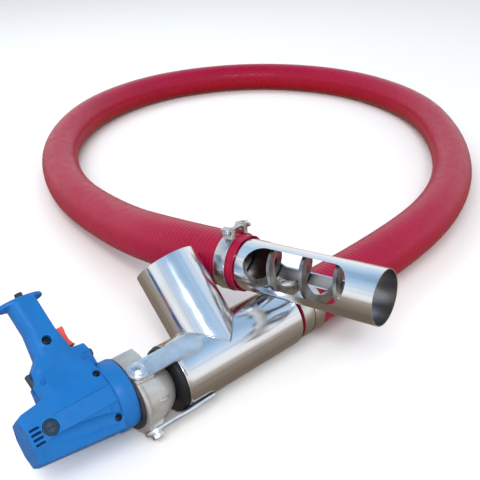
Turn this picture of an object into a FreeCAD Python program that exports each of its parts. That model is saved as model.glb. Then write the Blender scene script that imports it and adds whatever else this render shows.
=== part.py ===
"""Hand-held grain auger: an electric drill turns a flexible spiral inside a suction hose.

The discharge head is a tee of stainless tube. The drill is bolted to one end of it, the hose is
clamped to the other and grain leaves through the branch. The intake at the hose's far end is a
tube with three long windows, in which the spiral picks the grain up.
"""
import FreeCAD, Part
import math
import os
from FreeCAD import Placement, Rotation, Vector

# ---------------------------------------------------------------- driving sizes, millimetres
fit_gap = 0.05           # radial clearance of a shaft in its bearing
slip_gap = 0.25          # radial clearance of parts pushed over one another
face_gap = 0.5           # gap between end faces

# tubes
tube_wall = 1.5
tee_od = 89.0
tee_drill_end = -71.0    # cut end on the drill's side, from the branch's axis
tee_hose_end = 127.0
branch_length = 140.0    # from the tee's axis to the outlet
mouth_depth = 60.0       # of the branch's reamed mouth
mouth_relief = 0.6
weld_gap = 0.1           # between the branch's saddle and the main tube
shoulder_length = 6.0    # cone from the tee down to its spigot
intake_od = 74.0         # also the spigot that carries the hose
spigot_length = 62.0
intake_insert = 58.0     # intake tube hidden in the hose
intake_length = 208.0    # intake tube beyond the hose's lip
window_start = 15.0
window_length = 154.0
window_half_angle = 45.0
window_angles = (147.0, 27.0, -93.0)

# hose
hose_wall = 3.75
hose_id = intake_od + 2 * slip_gap
hose_od = hose_id + 2 * hose_wall

# spiral
spiral_od = 64.0
spiral_id = 36.0
strip_thickness = 5.0
spiral_pitch = 50.0
core_wall = 1.0          # the spiral's stretch in the hose, as one thin sleeve of its outline
intake_spiral_end = 166.0
intake_spiral_phase = -16.0

# drill, its spindle on the tee's axis and its handle along +Z
motor_z = 15.0           # motor axis above the spindle
barrel_tail = -268.0
barrel_rear = -262.0
barrel_front = -165.0
collar_front = -143.0
collar_r = 44.0
collar_bore = 38.0
shell_wall = 3.0
handle_half = 17.0
trigger_half = 8.0
trigger_travel = 6.0
gasket_thickness = 2.0
plate_thickness = 6.0
case_front = -108.0
case_wall = 6.0
case_bore = 34.0         # gear chamber
case_bore_z = 12.0
case_top = 54.0
neck_r = 29.0
neck_shoulder = -98.0
neck_tip_r = 22.0
neck_end = -62.0
spindle_r = 8.0
spindle_bearing_r = 16.0
layshaft_r = 3.5
layshaft_bush_r = 6.0
motor_shaft_r = 4.0
motor_bearing_r = 11.0
stator_r = 31.0
stator_rear, stator_front = -230.0, -190.0
rotor_r = 18.0
commutator_r = 12.0
brush_x = -243.4
brush_cap_r = 9.3
cap_rim_r = 11.5
shell_screws = ((-198.0, 108.4), (-169.5, 45.0), (-170.3, -12.0))   # x, z
screw_boss_r = 5.0

# straps and their bolts
plug_flange = 15.0       # the plug's part outside the tee
plug_spigot = 18.0
strap_thickness = 3.0
strap_width = 24.0
strap_bolt_x = -128.0
strap_weld_end = -38.5
strap_angles = {"near": 150.0, "low": 270.0, "far": 30.0}
bolt_r = 4.0
bolt_head_af = 13.0
bolt_head_height = 5.5
washer_r = 10.0
washer_thickness = 1.6

# clamps
band_width = 20.0
band_thickness = 0.8
clamp_bolt_r = 3.0
clamp_bolt_rise = 8.0    # bolt axis above the band

# gears: module, teeth
motor_gear = (0.75, 12)
first_gear = (0.75, 36)
second_gear = (0.8, 12)
spindle_gear = (0.8, 30)

# the head lies with its handle and branch this far above the ground, turned about its axis
head_roll = 42.0
head_x, head_y = 14.25, 12.32
axis_height = tee_od / 2

# intake tube: where the hose's lip sits on its axis, from the tee's centre, and how it points
intake_beside = 17.3     # gap between the intake tube's side and the branch's, at the lip
intake_sunk = 3.0        # how far the intake tube lies below the top of the tee
lip_place = Vector(tee_od / 2 + intake_od / 2 + intake_beside, 42.5, tee_od + intake_od / 2 - intake_sunk)
intake_yaw = -78.2
intake_pitch = 5.6
last_run = 135.0

# hose centreline from the tee's spigot round to the intake, from the tee's centre
hose_rest = hose_od / 2 + 0.3    # height of its axis where it lies on the ground
hose_points = [
    (405.0, 0.0, axis_height),
    (685.0, 70.0, hose_rest),
    (930.0, 235.0, hose_rest),
    (1135.0, 475.0, hose_rest),
    (1190.0, 785.0, hose_rest),
    (1045.0, 1055.0, hose_rest),
    (760.0, 1175.0, hose_rest),
    (465.0, 1105.0, hose_rest),
    (240.0, 900.0, hose_rest),
    (120.0, 640.0, 42.0),
    (85.0, 375.0, 66.0),
]

# ---------------------------------------------------------------- frames
ORIGIN = Vector(head_x, head_y, 0)
HEAD = Placement(ORIGIN + Vector(0, 0, axis_height), Rotation(Vector(1, 0, 0), head_roll - 90.0))
INTAKE = Placement(
    ORIGIN + lip_place,
    Rotation(Vector(0, 0, 1), intake_yaw) * Rotation(Vector(0, 1, 0), -intake_pitch),
)
GROUND = Placement(ORIGIN, Rotation())
NODES = {}


def keep(name, shape, frame=HEAD):
    """Puts a shape of one local frame into the part's frame, under its node's name."""
    solid = shape.copy()
    solid.Placement = frame * solid.Placement
    NODES[name] = solid


# ---------------------------------------------------------------- shape helpers, axis along X
def rod(r, x0, x1, y=0.0, z=0.0):
    return Part.makeCylinder(r, x1 - x0, Vector(x0, y, z), Vector(1, 0, 0))


def ring(outer, inner, x0, x1, y=0.0, z=0.0):
    return rod(outer, x0, x1, y, z).cut(rod(inner, x0 - 1, x1 + 1, y, z))


def cone(r0, r1, x0, x1):
    return Part.makeCone(r0, r1, x1 - x0, Vector(x0, 0, 0), Vector(1, 0, 0))


def block(x0, x1, y0, y1, z0, z1):
    return Part.makeBox(x1 - x0, y1 - y0, z1 - z0, Vector(x0, y0, z0))


def post(r, x, y, z0, z1):
    """A round bar along Z."""
    return Part.makeCylinder(r, z1 - z0, Vector(x, y, z0), Vector(0, 0, 1))


def fuse(shapes):
    return shapes[0].fuse(shapes[1:]).removeSplitter()


def polygon(points):
    return Part.makePolygon([Vector(*p) for p in points] + [Vector(*points[0])])


def profile(points, y0, y1):
    """An outline in X and Z, as thick as from y0 to y1."""
    return Part.Face(polygon([(x, y0, z) for x, z in points])).extrude(Vector(0, y1 - y0, 0))


def inset(points, depth):
    """The outline with every side moved inwards; its corners run clockwise in X and Z."""
    moved = []
    for before, here, after in zip(points[-1:] + points[:-1], points, points[1:] + points[:1]):
        ax, az = here[0] - before[0], here[1] - before[1]
        bx, bz = after[0] - here[0], after[1] - here[1]
        a, b = math.hypot(ax, az), math.hypot(bx, bz)
        nx, nz = az / a + bz / b, -ax / a - bx / b
        scale = 2 * depth / (nx * nx + nz * nz)
        moved.append((here[0] + nx * scale, here[1] + nz * scale))
    return moved


def rounded(points, levels):
    """Solid between insets of one outline: levels are pairs of Y and depth of the inset."""
    wires = [polygon([(x, y, z) for x, z in inset(points, depth)]) for y, depth in levels]
    return Part.makeLoft(wires, True, True)


def hexagon(af, height, z0, x=0.0):
    r = af / math.sqrt(3)
    corners = [(x + r * math.cos(math.radians(60 * k)), r * math.sin(math.radians(60 * k)), z0) for k in range(6)]
    return Part.Face(polygon(corners)).extrude(Vector(0, 0, height))


def about_axis(shape, angle):
    """Turns a shape built on +Z about the X axis, so that it lies at this angle from +Y."""
    turned = shape.copy()
    turned.rotate(Vector(0, 0, 0), Vector(1, 0, 0), angle - 90.0)
    return turned


def spiral(x0, x1, phase):
    """Right-handed strip wound round the X axis; its start lies at this angle from +Y."""
    inner, outer, half = spiral_id / 2, spiral_od / 2, strip_thickness / 2
    path = Part.makeHelix(spiral_pitch, x1 - x0, outer)
    section = polygon([(inner, 0, -half), (outer, 0, -half), (outer, 0, half), (inner, 0, half)])
    strip = Part.Wire(path).makePipeShell([section], True, True)
    strip.Placement = Placement(Vector(x0, 0, 0), Rotation(Vector(1, 0, 0), phase + 90.0) * Rotation(Vector(0, 1, 0), 90))
    return strip


def gear(size, x0, x1, bore, y, z, turn=0.0):
    """Spur gear with straight-sided teeth, thinned for backlash."""
    module, teeth = size
    pitch_r = module * teeth / 2
    levels = ((pitch_r - 1.1 * module, 0.33), (pitch_r, 0.22), (pitch_r + 0.8 * module, 0.12))
    corners = []
    for tooth in range(teeth):
        centre = 2 * math.pi * (tooth + turn) / teeth
        flank = [(r, -share) for r, share in levels] + [(r, share) for r, share in reversed(levels)]
        for r, share in flank:
            angle = centre + 2 * math.pi * share / teeth
            corners.append((x0, y + r * math.cos(angle), z + r * math.sin(angle)))
    wheel = Part.Face(polygon(corners)).extrude(Vector(x1 - x0, 0, 0))
    return wheel.cut(rod(bore, x0 - 1, x1 + 1, y, z)) if bore else wheel


# ---------------------------------------------------------------- hose route
def route(start_trim=0.0, end_trim=0.0):
    """Straight runs joined by tangent arcs, each as large as its shorter run allows."""
    along = INTAKE.Rotation.multVec(Vector(1, 0, 0))
    corners = [Vector(tee_hose_end, 0, axis_height)] + [Vector(*p) for p in hose_points]
    corners += [lip_place - along * last_run, lip_place]
    edges, radii = [], []
    here = corners[0] + (corners[1] - corners[0]).normalize() * start_trim
    for before, corner, after in zip(corners, corners[1:], corners[2:]):
        way_in, way_out = corner - before, after - corner
        reach = 0.45 * min(way_in.Length, way_out.Length)
        way_in.normalize()
        way_out.normalize()
        turn = way_in.getAngle(way_out)
        radii.append(reach / math.tan(turn / 2))
        first, last = corner - way_in * reach, corner + way_out * reach
        to_middle = (way_out - way_in).normalize()
        centre = corner + to_middle * (radii[-1] / math.cos(turn / 2))
        middle = centre - to_middle * radii[-1]
        edges += [Part.LineSegment(here, first).toShape(), Part.Arc(first, middle, last).toShape()]
        here = last
    end = corners[-1] - along * end_trim
    edges.append(Part.LineSegment(here, end).toShape())
    length = sum(edge.Length for edge in edges)
    return Part.Wire(edges), length, radii


def tube_along(wire, start, heading, r):
    circle = Part.Wire(Part.Circle(start, heading, r).toShape())
    return wire.makePipeShell([circle], True, False)


def hollow_along(start_trim, end_trim, outer, inner):
    wire, length, radii = route(start_trim, end_trim)
    start = wire.OrderedVertexes[0].Point
    heading = wire.OrderedEdges[0].tangentAt(0)
    tube = tube_along(wire, start, heading, outer).cut(tube_along(wire, start, heading, inner))
    return tube, length, radii


def make_hose():
    tube, length, radii = hollow_along(face_gap, 0.0, hose_od / 2, hose_id / 2)
    keep("hose", tube, GROUND)
    section = math.pi * (hose_od**2 - hose_id**2) / 4
    print("hose length %.0f, volume against section times length %.4f" % (length, tube.Volume / (section * length)))
    print("bend radii in diameters", [round(r / hose_od, 2) for r in radii])


# ---------------------------------------------------------------- tubes and straps
def make_tee():
    tee_r, spigot_r = tee_od / 2, intake_od / 2
    shoulder = tee_hose_end - shoulder_length
    spigot_end = tee_hose_end + spigot_length

    def run(offset):
        main = rod(tee_r - offset, tee_drill_end, shoulder)
        taper = cone(tee_r - offset, spigot_r - offset, shoulder, tee_hose_end)
        return fuse([main, taper, rod(spigot_r - offset, tee_hose_end, spigot_end)])

    bore = tee_r - tube_wall
    keep("tee_main_tube", run(0.0).cut(run(tube_wall)).cut(post(bore, 0, 0, 0, tee_r + 1)))
    branch = post(tee_r, 0, 0, 0, branch_length).cut(post(bore, 0, 0, -1, branch_length + 1))
    branch = branch.cut(post(bore + mouth_relief, 0, 0, branch_length - mouth_depth, branch_length + 1))
    keep("tee_branch", branch.cut(rod(tee_r + weld_gap, tee_drill_end, shoulder)))


def make_straps():
    seat = tee_od / 2
    tab_r = strap_width / 2
    bar = block(strap_bolt_x, strap_weld_end, -tab_r, tab_r, seat, seat + strap_thickness)
    tab = post(tab_r, strap_bolt_x, 0, seat, seat + strap_thickness)
    end = post(tab_r, strap_weld_end, 0, seat, seat + strap_thickness)
    hole = post(bolt_r + slip_gap, strap_bolt_x, 0, seat - 1, seat + strap_thickness + 1)
    strap = fuse([bar, tab, end]).cut(hole)
    top = seat + strap_thickness
    washer = post(washer_r, strap_bolt_x, 0, top, top + washer_thickness)
    washer = washer.cut(post(bolt_r + slip_gap, strap_bolt_x, 0, top - 1, top + washer_thickness + 1))
    head_z = top + washer_thickness
    bolt = fuse([post(bolt_r, strap_bolt_x, 0, seat - 2.0, head_z), hexagon(bolt_head_af, bolt_head_height, head_z, strap_bolt_x)])
    washers, bolts = [], []
    for name, angle in strap_angles.items():
        keep("mounting_strap_" + name, about_axis(strap, angle))
        washers.append(about_axis(washer, angle))
        bolts.append(about_axis(bolt, angle))
    keep("strap_washers", Part.makeCompound(washers))
    keep("strap_bolts", Part.makeCompound(bolts))


def make_end_plug():
    bore = neck_tip_r + slip_gap
    back = tee_drill_end - plug_flange
    flange = rod(tee_od / 2 - 0.5, back, tee_drill_end)
    flange = flange.makeFillet(7.0, [e for e in flange.Edges if abs(e.CenterOfMass.x - back) < 0.1])
    spigot = rod(tee_od / 2 - tube_wall - slip_gap, tee_drill_end, tee_drill_end + plug_spigot)
    keep("end_plug", fuse([flange, spigot]).cut(rod(bore, back - 1, tee_drill_end + plug_spigot + 1)))


def make_intake():
    outer = intake_od / 2
    tube = ring(outer, outer - tube_wall, -intake_insert, intake_length)
    half_chord = outer * math.sin(math.radians(window_half_angle))
    x0, x1 = window_start + half_chord, window_start + window_length - half_chord
    for angle in window_angles:
        slot = fuse([
            post(half_chord, x0, 0, 0, outer + 5),
            post(half_chord, x1, 0, 0, outer + 5),
            block(x0, x1, -half_chord, half_chord, 0, outer + 5),
        ])
        tube = tube.cut(about_axis(slot, angle))
    keep("intake_tube", tube, INTAKE)


# ---------------------------------------------------------------- spiral and its drive
def make_spiral():
    hub_face = tee_drill_end + 23.0
    socket = rod(13.0, hub_face - 4.0, hub_face + 18.0)
    plate = rod(spiral_od / 2, hub_face + 12.0, hub_face + 18.0)
    start = hub_face + 18.0 - strip_thickness / 2
    end = tee_hose_end + 110.0
    drive = fuse([socket, plate, spiral(start, end, 90.0)])
    bore = rod(spindle_r + fit_gap, hub_face - 5.0, hub_face + 12.0)
    pin_x = hub_face + 4.0
    pin_hole = post(2.5 + fit_gap, pin_x, 0, -20, 20)
    keep("auger_drive_section", drive.cut(bore).cut(pin_hole))
    keep("coupling_pin", post(2.5, pin_x, 0, -14.0, 14.0))
    core_start = end - tee_hose_end + strip_thickness / 2 + face_gap
    core_end = intake_insert + 12.0 + strip_thickness / 2 + face_gap
    core = hollow_along(core_start, core_end, spiral_od / 2 - 1.0, spiral_od / 2 - 1.0 - core_wall)[0]
    keep("auger_hose_section", core, GROUND)
    keep("auger_intake_section", spiral(-intake_insert - 12.0, intake_spiral_end, intake_spiral_phase), INTAKE)


# ---------------------------------------------------------------- clamps
def clamp(x, angle, name, frame):
    """T-bolt clamp: split band, two trunnions, the bolt across them and its wing nut."""
    r = hose_od / 2 + slip_gap
    top = r + band_thickness
    bolt_z = top + clamp_bolt_rise
    half = band_width / 2
    gap = block(-half - 1, half + 1, -12.0, 12.0, 0, top + 5)
    band = ring(top, r, -half, half).cut(gap)
    trunnions = []
    for side in (-1, 1):
        y = side * 14.0
        loop = block(-half + 2, half - 2, y - 4.5, y + 4.5, top - 7.0, bolt_z)
        barrel = fuse([loop, Part.makeCylinder(4.5, band_width - 4, Vector(-half + 2, y, bolt_z), Vector(1, 0, 0))])
        trunnions.append(barrel.cut(rod(top - band_thickness / 2, -half - 1, half + 1)))
    saddle = ring(top + 1.2, top, -half + 1.5, half - 1.5)
    saddle = saddle.cut(block(-half, half, -r * 2, r * 2, -r * 2, r * 0.62)).cut(gap)
    hole = Part.makeCylinder(clamp_bolt_r + fit_gap, 60, Vector(0, -30, bolt_z), Vector(0, 1, 0))
    band = fuse([band, saddle] + trunnions).cut(hole)
    shank = Part.makeCylinder(clamp_bolt_r, 54, Vector(0, -24, bolt_z), Vector(0, 1, 0))
    head = block(-7.0, 7.0, -24.0, -19.0, bolt_z - 4.5, bolt_z + 4.5)
    bolt = fuse([shank, head])
    nut_y = 14.0 + 4.5 + 0.3
    hub = Part.makeCylinder(5.5, 7.0, Vector(0, nut_y, bolt_z), Vector(0, 1, 0))
    wings = [block(min(0, s * 11.0), max(0, s * 11.0), nut_y + 1.5, nut_y + 5.0, bolt_z - 3.5, bolt_z + 3.5) for s in (-1, 1)]
    bore = Part.makeCylinder(clamp_bolt_r + fit_gap, 60, Vector(0, -30, bolt_z), Vector(0, 1, 0))
    nut = fuse([hub] + wings).cut(bore)
    for suffix, shape in (("band", band), ("bolt", bolt), ("wing_nut", nut)):
        placed = about_axis(shape, angle)
        placed.translate(Vector(x, 0, 0))
        keep(name + "_" + suffix, placed, frame)


def make_clamps():
    clamp(-22.0, 84.0, "intake_clamp", INTAKE)
    clamp(tee_hose_end + 12.0, 53.0, "outlet_clamp_a", HEAD)
    clamp(tee_hose_end + 33.5, 64.0, "outlet_clamp_b", HEAD)


# ---------------------------------------------------------------- drill: gearbox end
def layshaft_place():
    """The layshaft lies where both gear pairs are in mesh."""
    near = motor_gear[0] * (motor_gear[1] + first_gear[1]) / 2
    out = spindle_gear[0] * (second_gear[1] + spindle_gear[1]) / 2
    z = (out**2 - near**2 + motor_z**2) / (2 * motor_z)
    return -math.sqrt(out**2 - z**2), z


def make_gearbox():
    back = collar_front + gasket_thickness
    seat = tee_od / 2
    lay_y, lay_z = layshaft_place()
    outside = rod(collar_r - 0.5, back, case_front, 0, motor_z)
    outside = outside.cut(block(back - 1, case_front + 1, -60, 60, case_top, 80))
    for name in ("near", "far"):
        outside = outside.cut(about_axis(block(back - 1, case_front + 1, -60, 60, seat, 90), strap_angles[name]))
    lug_half = strap_width / 2 + 1.0
    lug = block(strap_bolt_x - lug_half, strap_bolt_x + lug_half, -lug_half, lug_half, 15, seat)
    rib = block(strap_bolt_x, neck_shoulder - 2.0, -2.5, 2.5, 20, seat - 4.0)
    lower = [about_axis(shape, strap_angles["low"]) for shape in (lug, rib)]
    neck = rod(neck_r, case_front - 1, neck_shoulder)
    plug_back = tee_drill_end - plug_flange
    shoulder = cone(neck_r, neck_tip_r, neck_shoulder, plug_back)
    tip = rod(neck_tip_r, plug_back, neck_end)
    case = fuse([outside, neck, shoulder, tip] + lower)
    chamber_end = case_front - case_wall
    hollows = [
        rod(case_bore, back - 1, chamber_end, 0, case_bore_z),
        rod(spindle_r + 1.0, chamber_end - 1, neck_end + 1),
        rod(spindle_bearing_r, neck_end - 14.0, neck_end + 1),
        rod(spindle_bearing_r, case_front - 1.0, case_front + 8.0),
        rod(layshaft_bush_r, chamber_end - 1, chamber_end + 4.0, lay_y, lay_z),
    ]
    hollows += [about_axis(post(bolt_r, strap_bolt_x, 0, seat - 2.0, seat + 1), a) for a in strap_angles.values()]
    keep("gearbox_case", case.cut(fuse(hollows)))
    keep("motor_gasket", ring(collar_r - 1.5, 36.0, collar_front, back, 0, motor_z))
    plate_back = collar_front - plate_thickness
    plate = rod(collar_bore, plate_back, collar_front, 0, motor_z)
    plate = plate.cut(rod(motor_bearing_r, plate_back - 1, collar_front + 1, 0, motor_z))
    plate = plate.cut(rod(layshaft_bush_r, plate_back - 1, collar_front + 1, lay_y, lay_z))
    keep("gear_plate", plate)
    keep("front_collar", ring(collar_r, collar_bore, barrel_front, collar_front, 0, motor_z))


def make_gears():
    lay_y, lay_z = layshaft_place()
    back = collar_front + gasket_thickness
    first_x = (back + 0.5, back + 8.0)
    second_x = (back + 10.5, back + 19.5)
    chamber_end = case_front - case_wall

    def meshing(size_a, size_b, towards):
        """Turns of two gears, in teeth: a tooth of the first faces a gap of the second."""
        return towards * size_a[1] / (2 * math.pi), (towards + math.pi) * size_b[1] / (2 * math.pi) + 0.5

    down = math.atan2(lay_z - motor_z, lay_y)
    turn_a, turn_b = meshing(motor_gear, first_gear, down)
    shaft = rod(motor_shaft_r, barrel_rear + 2.0, first_x[0] + 0.1, 0, motor_z)
    pinion = gear(motor_gear, first_x[0], first_x[1], 0, 0, motor_z, turn_a)
    keep("armature_shaft", fuse([shaft, pinion]))
    keep("first_reduction_gear", gear(first_gear, first_x[0], first_x[1], layshaft_r, lay_y, lay_z, turn_b))
    across = math.atan2(-lay_z, -lay_y)
    turn_a, turn_b = meshing(second_gear, spindle_gear, across)
    lay = rod(layshaft_r, collar_front - plate_thickness, chamber_end + 4.0, lay_y, lay_z)
    pinion = gear(second_gear, second_x[0], second_x[1], 0, lay_y, lay_z, turn_a)
    keep("layshaft", fuse([lay, pinion]))
    keep("spindle_gear", gear(spindle_gear, second_x[0], second_x[1], spindle_r, 0, 0, turn_b))
    bushes = [
        ring(layshaft_bush_r, layshaft_r + fit_gap, collar_front - plate_thickness, collar_front, lay_y, lay_z),
        ring(layshaft_bush_r, layshaft_r + fit_gap, chamber_end, chamber_end + 4.0, lay_y, lay_z),
    ]
    keep("layshaft_bushes", Part.makeCompound(bushes))
    bearings = [
        ring(spindle_bearing_r, spindle_r + fit_gap, case_front - 1.0, case_front + 8.0),
        ring(spindle_bearing_r, spindle_r + fit_gap, neck_end - 14.0, neck_end),
    ]
    keep("spindle_bearings", Part.makeCompound(bearings))
    hub_face = tee_drill_end + 23.0
    spindle = rod(spindle_r, second_x[0], hub_face + 11.5)
    keep("drill_spindle", spindle.cut(post(2.5, hub_face + 4.0, 0, -20, 20)))


# ---------------------------------------------------------------- drill: motor
def make_motor():
    stator = ring(stator_r, rotor_r + 1.0, stator_rear, stator_front, 0, motor_z)
    for side in (-1, 1):
        stator = stator.cut(block(stator_rear - 1, stator_front + 1, side * 24.0 - 4, side * 24.0 + 4, motor_z - 12, motor_z + 12))
    keep("stator_core", stator)
    coils = []
    for side in (-1, 1):
        coil = block(stator_rear - 5.0, stator_front + 5.0, side * 24.0 - 3.9, side * 24.0 + 3.9, motor_z - 11.9, motor_z + 11.9)
        coils.append(coil.common(rod(stator_r - 1.0, stator_rear - 6, stator_front + 6, 0, motor_z)))
    keep("field_coils", Part.makeCompound(coils))
    core = ring(rotor_r, motor_shaft_r + fit_gap, stator_rear, stator_front, 0, motor_z)
    for k in range(12):
        angle = 2 * math.pi * k / 12
        core = core.cut(rod(2.0, stator_rear - 1, stator_front + 1, 15 * math.cos(angle), motor_z + 15 * math.sin(angle)))
    ends = [
        ring(14.0, motor_shaft_r + fit_gap, stator_rear - 5.0, stator_rear, 0, motor_z),
        ring(14.0, motor_shaft_r + fit_gap, stator_front, stator_front + 5.0, 0, motor_z),
    ]
    keep("armature_core", fuse([core] + ends))
    keep("commutator", ring(commutator_r, motor_shaft_r + fit_gap, brush_x - 6.5, brush_x + 6.5, 0, motor_z))
    fan_back, fan_front = stator_front + 6.0, stator_front + 13.0
    fan = ring(28.0, motor_shaft_r + fit_gap, fan_front - 1.5, fan_front, 0, motor_z)
    hub = ring(8.0, motor_shaft_r + fit_gap, fan_back, fan_front, 0, motor_z)
    blades = []
    for k in range(11):
        blade = block(fan_back, fan_front, -0.8, 0.8, 12.0, 27.5)
        blade.rotate(Vector(0, 0, 0), Vector(1, 0, 0), 360.0 * k / 11)
        blade.translate(Vector(0, 0, motor_z))
        blades.append(blade)
    keep("cooling_fan", fuse([fan, hub] + blades))
    bearings = [
        ring(motor_bearing_r, motor_shaft_r + fit_gap, barrel_rear + 2.0, barrel_rear + 9.0, 0, motor_z),
        ring(motor_bearing_r, motor_shaft_r + fit_gap, collar_front - plate_thickness, collar_front, 0, motor_z),
    ]
    keep("armature_bearings", Part.makeCompound(bearings))
    holders, brushes, caps = [], [], []
    for side in (-1, 1):
        def sided(shape):
            return shape if side > 0 else shape.mirror(Vector(0, 0, 0), Vector(0, 1, 0))
        holder = block(brush_x - 5, brush_x + 5, 14.0, 28.0, motor_z - 6, motor_z + 6)
        bore = block(brush_x - 3.05, brush_x + 3.05, 13, 29, motor_z - 4.05, motor_z + 4.05)
        brush = block(brush_x - 3, brush_x + 3, commutator_r + 0.3, 24.0, motor_z - 4, motor_z + 4)
        cap = Part.makeCylinder(brush_cap_r, 6.5, Vector(brush_x, 28.5, motor_z), Vector(0, 1, 0))
        slot = block(brush_x - 6, brush_x + 6, 34.0, 36.0, motor_z - 0.9, motor_z + 0.9)
        holders.append(sided(holder.cut(bore)))
        brushes.append(sided(brush))
        caps.append(sided(cap.cut(slot)))
    keep("brush_holders", Part.makeCompound(holders))
    keep("carbon_brushes", Part.makeCompound(brushes))
    keep("brush_caps", Part.makeCompound(caps))


# ---------------------------------------------------------------- drill: shells and controls
handle_outline = [
    (-216.4, 168.5), (-182.2, 168.5), (-182.2, 160.0), (-178.7, 119.5), (-172.0, 91.0), (-157.0, 90.0),
    (-155.2, 78.0), (-155.2, 46.0), (-234.2, 38.0), (-234.2, 49.4), (-232.6, 68.6), (-230.4, 82.7),
    (-218.5, 95.5), (-215.6, 129.0),
]
flange_outline = [
    (-221.0, 171.5), (-220.0, 177.5), (-174.0, 173.5), (-173.0, 168.0), (-182.0, 163.5), (-216.0, 166.5),
]
trigger_outline = [
    (-181.5, 118.0), (-170.6, 118.6), (-171.4, 107.6), (-169.4, 94.9), (-166.5, 91.8), (-176.0, 91.5),
]
rocker_x, rocker_z = -229.5, 71.0
lock_z = 75.0


def barrel_section(x, depth):
    """Eight-sided section of the motor barrel, with a flat band at the height of the motor axis."""
    share = (x - barrel_rear) / (barrel_front - barrel_rear)
    half = 33.0 + 8.0 * share
    floor = -15.5 - 11.0 * share
    roof = 44.0 + 14.0 * share
    sill = 18.0 + 6.0 * share
    if x < barrel_rear:
        half, floor, roof, sill = 28.0, -10.0, 38.0, 14.0
    band = 10.6
    half, sill, floor, roof = half - depth, sill - depth * 0.6, floor + depth, roof - depth
    corners = [(half, motor_z - band), (half, motor_z + band), (sill, roof), (-sill, roof)]
    corners += [(-half, motor_z + band), (-half, motor_z - band), (-sill, floor), (sill, floor)]
    return polygon([(x, y, z) for y, z in corners])


def make_shells():
    barrel = Part.makeLoft([barrel_section(x, 0) for x in (barrel_tail, barrel_rear, barrel_front)], True, True)
    half = handle_half
    levels = [(-half, 6.0), (1.5 - half, 3.2), (4.5 - half, 0.8), (7.0 - half, 0.0)]
    levels += [(-y, depth) for y, depth in reversed(levels)]
    handle = rounded(handle_outline, levels)
    flange = profile(flange_outline, -19.0, 19.0)
    corner = block(-221.5, -172.5, -19.0, 19.0, 160, 180)
    corner = corner.makeFillet(14.0, [e for e in corner.Edges if abs(e.BoundBox.ZLength - 20) < 0.01])
    body = fuse([barrel, handle, flange.common(corner)])
    rims = [ring_y(cap_rim_r, brush_cap_r + slip_gap, side * 31.0, side * 35.6, brush_x, motor_z) for side in (-1, 1)]
    body = body.fuse(rims)
    # what is hollow: barrel and handle, less the ribs that carry the motor and the screw posts
    room = Part.makeLoft([barrel_section(x, shell_wall) for x in (barrel_rear + 2.0, barrel_front + 1.0)], True, True)
    for x in (stator_rear + 4.0, stator_front - 8.0):
        room = room.cut(block(x, x + 4.0, -60, 60, -60, 80))
    room = room.cut(ring(motor_bearing_r + 4.0, motor_bearing_r, barrel_rear, barrel_rear + 9.0, 0, motor_z))
    inner_half = half - shell_wall
    inner = [(-inner_half, 9.0), (2.5 - inner_half, 4.2), (-4.0, shell_wall), (4.0, shell_wall)]
    inner += [(-y, depth) for y, depth in reversed(inner[:2])]
    room = fuse([room, rounded(handle_outline, inner), block(-228, -162, -12, 12, 30, 52)])
    for x, z in shell_screws:
        room = room.cut(Part.makeCylinder(screw_boss_r, 80, Vector(x, -40, z), Vector(0, 1, 0)))
    lugs = [block(rocker_x - 3.5, rocker_x + 4.0, side * 8.0 - 1.5, side * 8.0 + 1.5, rocker_z - 5, rocker_z + 5) for side in (-1, 1)]
    room = room.cut(lugs[0]).cut(lugs[1])
    body = body.cut(room).cut(rod(stator_r + slip_gap, stator_rear, stator_front, 0, motor_z))
    body = body.cut(rod(collar_r + slip_gap, barrel_front, collar_front, 0, motor_z))
    holes = [
        block(-190, -160, -trigger_half - 0.4, trigger_half + 0.4, 90.9, 119.2),
        rod(3.3, -170, -150, 0, lock_z),
        block(-240, -222, -6.3, 6.3, rocker_z - 12.5, rocker_z + 12.5),
        Part.makeCylinder(1.5 + fit_gap, 17.0, Vector(rocker_x, -8.5, rocker_z), Vector(0, 1, 0)),
        post(5.0, -198.0, 0, 160, 180),
        ring_y(brush_cap_r + slip_gap, 0, -60, -28, brush_x, motor_z),
        ring_y(brush_cap_r + slip_gap, 0, 28, 60, brush_x, motor_z),
    ]
    for side in (-1, 1):
        for k in range(4):
            z = motor_z - 8.5 + 5.7 * k
            holes.append(block(barrel_rear, barrel_rear + 9.0, side * 34 - 5, side * 34 + 5, z - 1.2, z + 1.2))
        for z in (motor_z - 16.0, motor_z + 12.5):
            holes.append(block(barrel_tail - 2, barrel_rear + 3, side * 18 - 3.0, side * 18 + 3.0, z - 1.2, z + 1.2))
    screws = []
    for x, z in shell_screws:
        depth = screw_seat(x, z)
        holes.append(Part.makeCylinder(3.6, 30, Vector(x, -depth - 30 + 3.0, z), Vector(0, 1, 0)))
        holes.append(Part.makeCylinder(1.9, 60, Vector(x, -depth, z), Vector(0, 1, 0)))
        shank = Part.makeCylinder(1.9, depth * 2 - 6.0, Vector(x, 2.0 - depth, z), Vector(0, 1, 0))
        head = Part.makeCylinder(3.5, 2.0, Vector(x, 1.0 - depth, z), Vector(0, 1, 0))
        cross = block(x - 2.2, x + 2.2, -depth, 2.0 - depth, z - 0.5, z + 0.5)
        cross = cross.fuse(block(x - 0.5, x + 0.5, -depth, 2.0 - depth, z - 2.2, z + 2.2))
        screws.append(fuse([shank, head]).cut(cross))
    body = body.cut(holes)
    keep("drill_shell_near", body.common(block(-300, -100, -60, 0, -60, 200)))
    keep("drill_shell_far", body.common(block(-300, -100, 0, 60, -60, 200)))
    keep("shell_screws", Part.makeCompound(screws))


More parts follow.
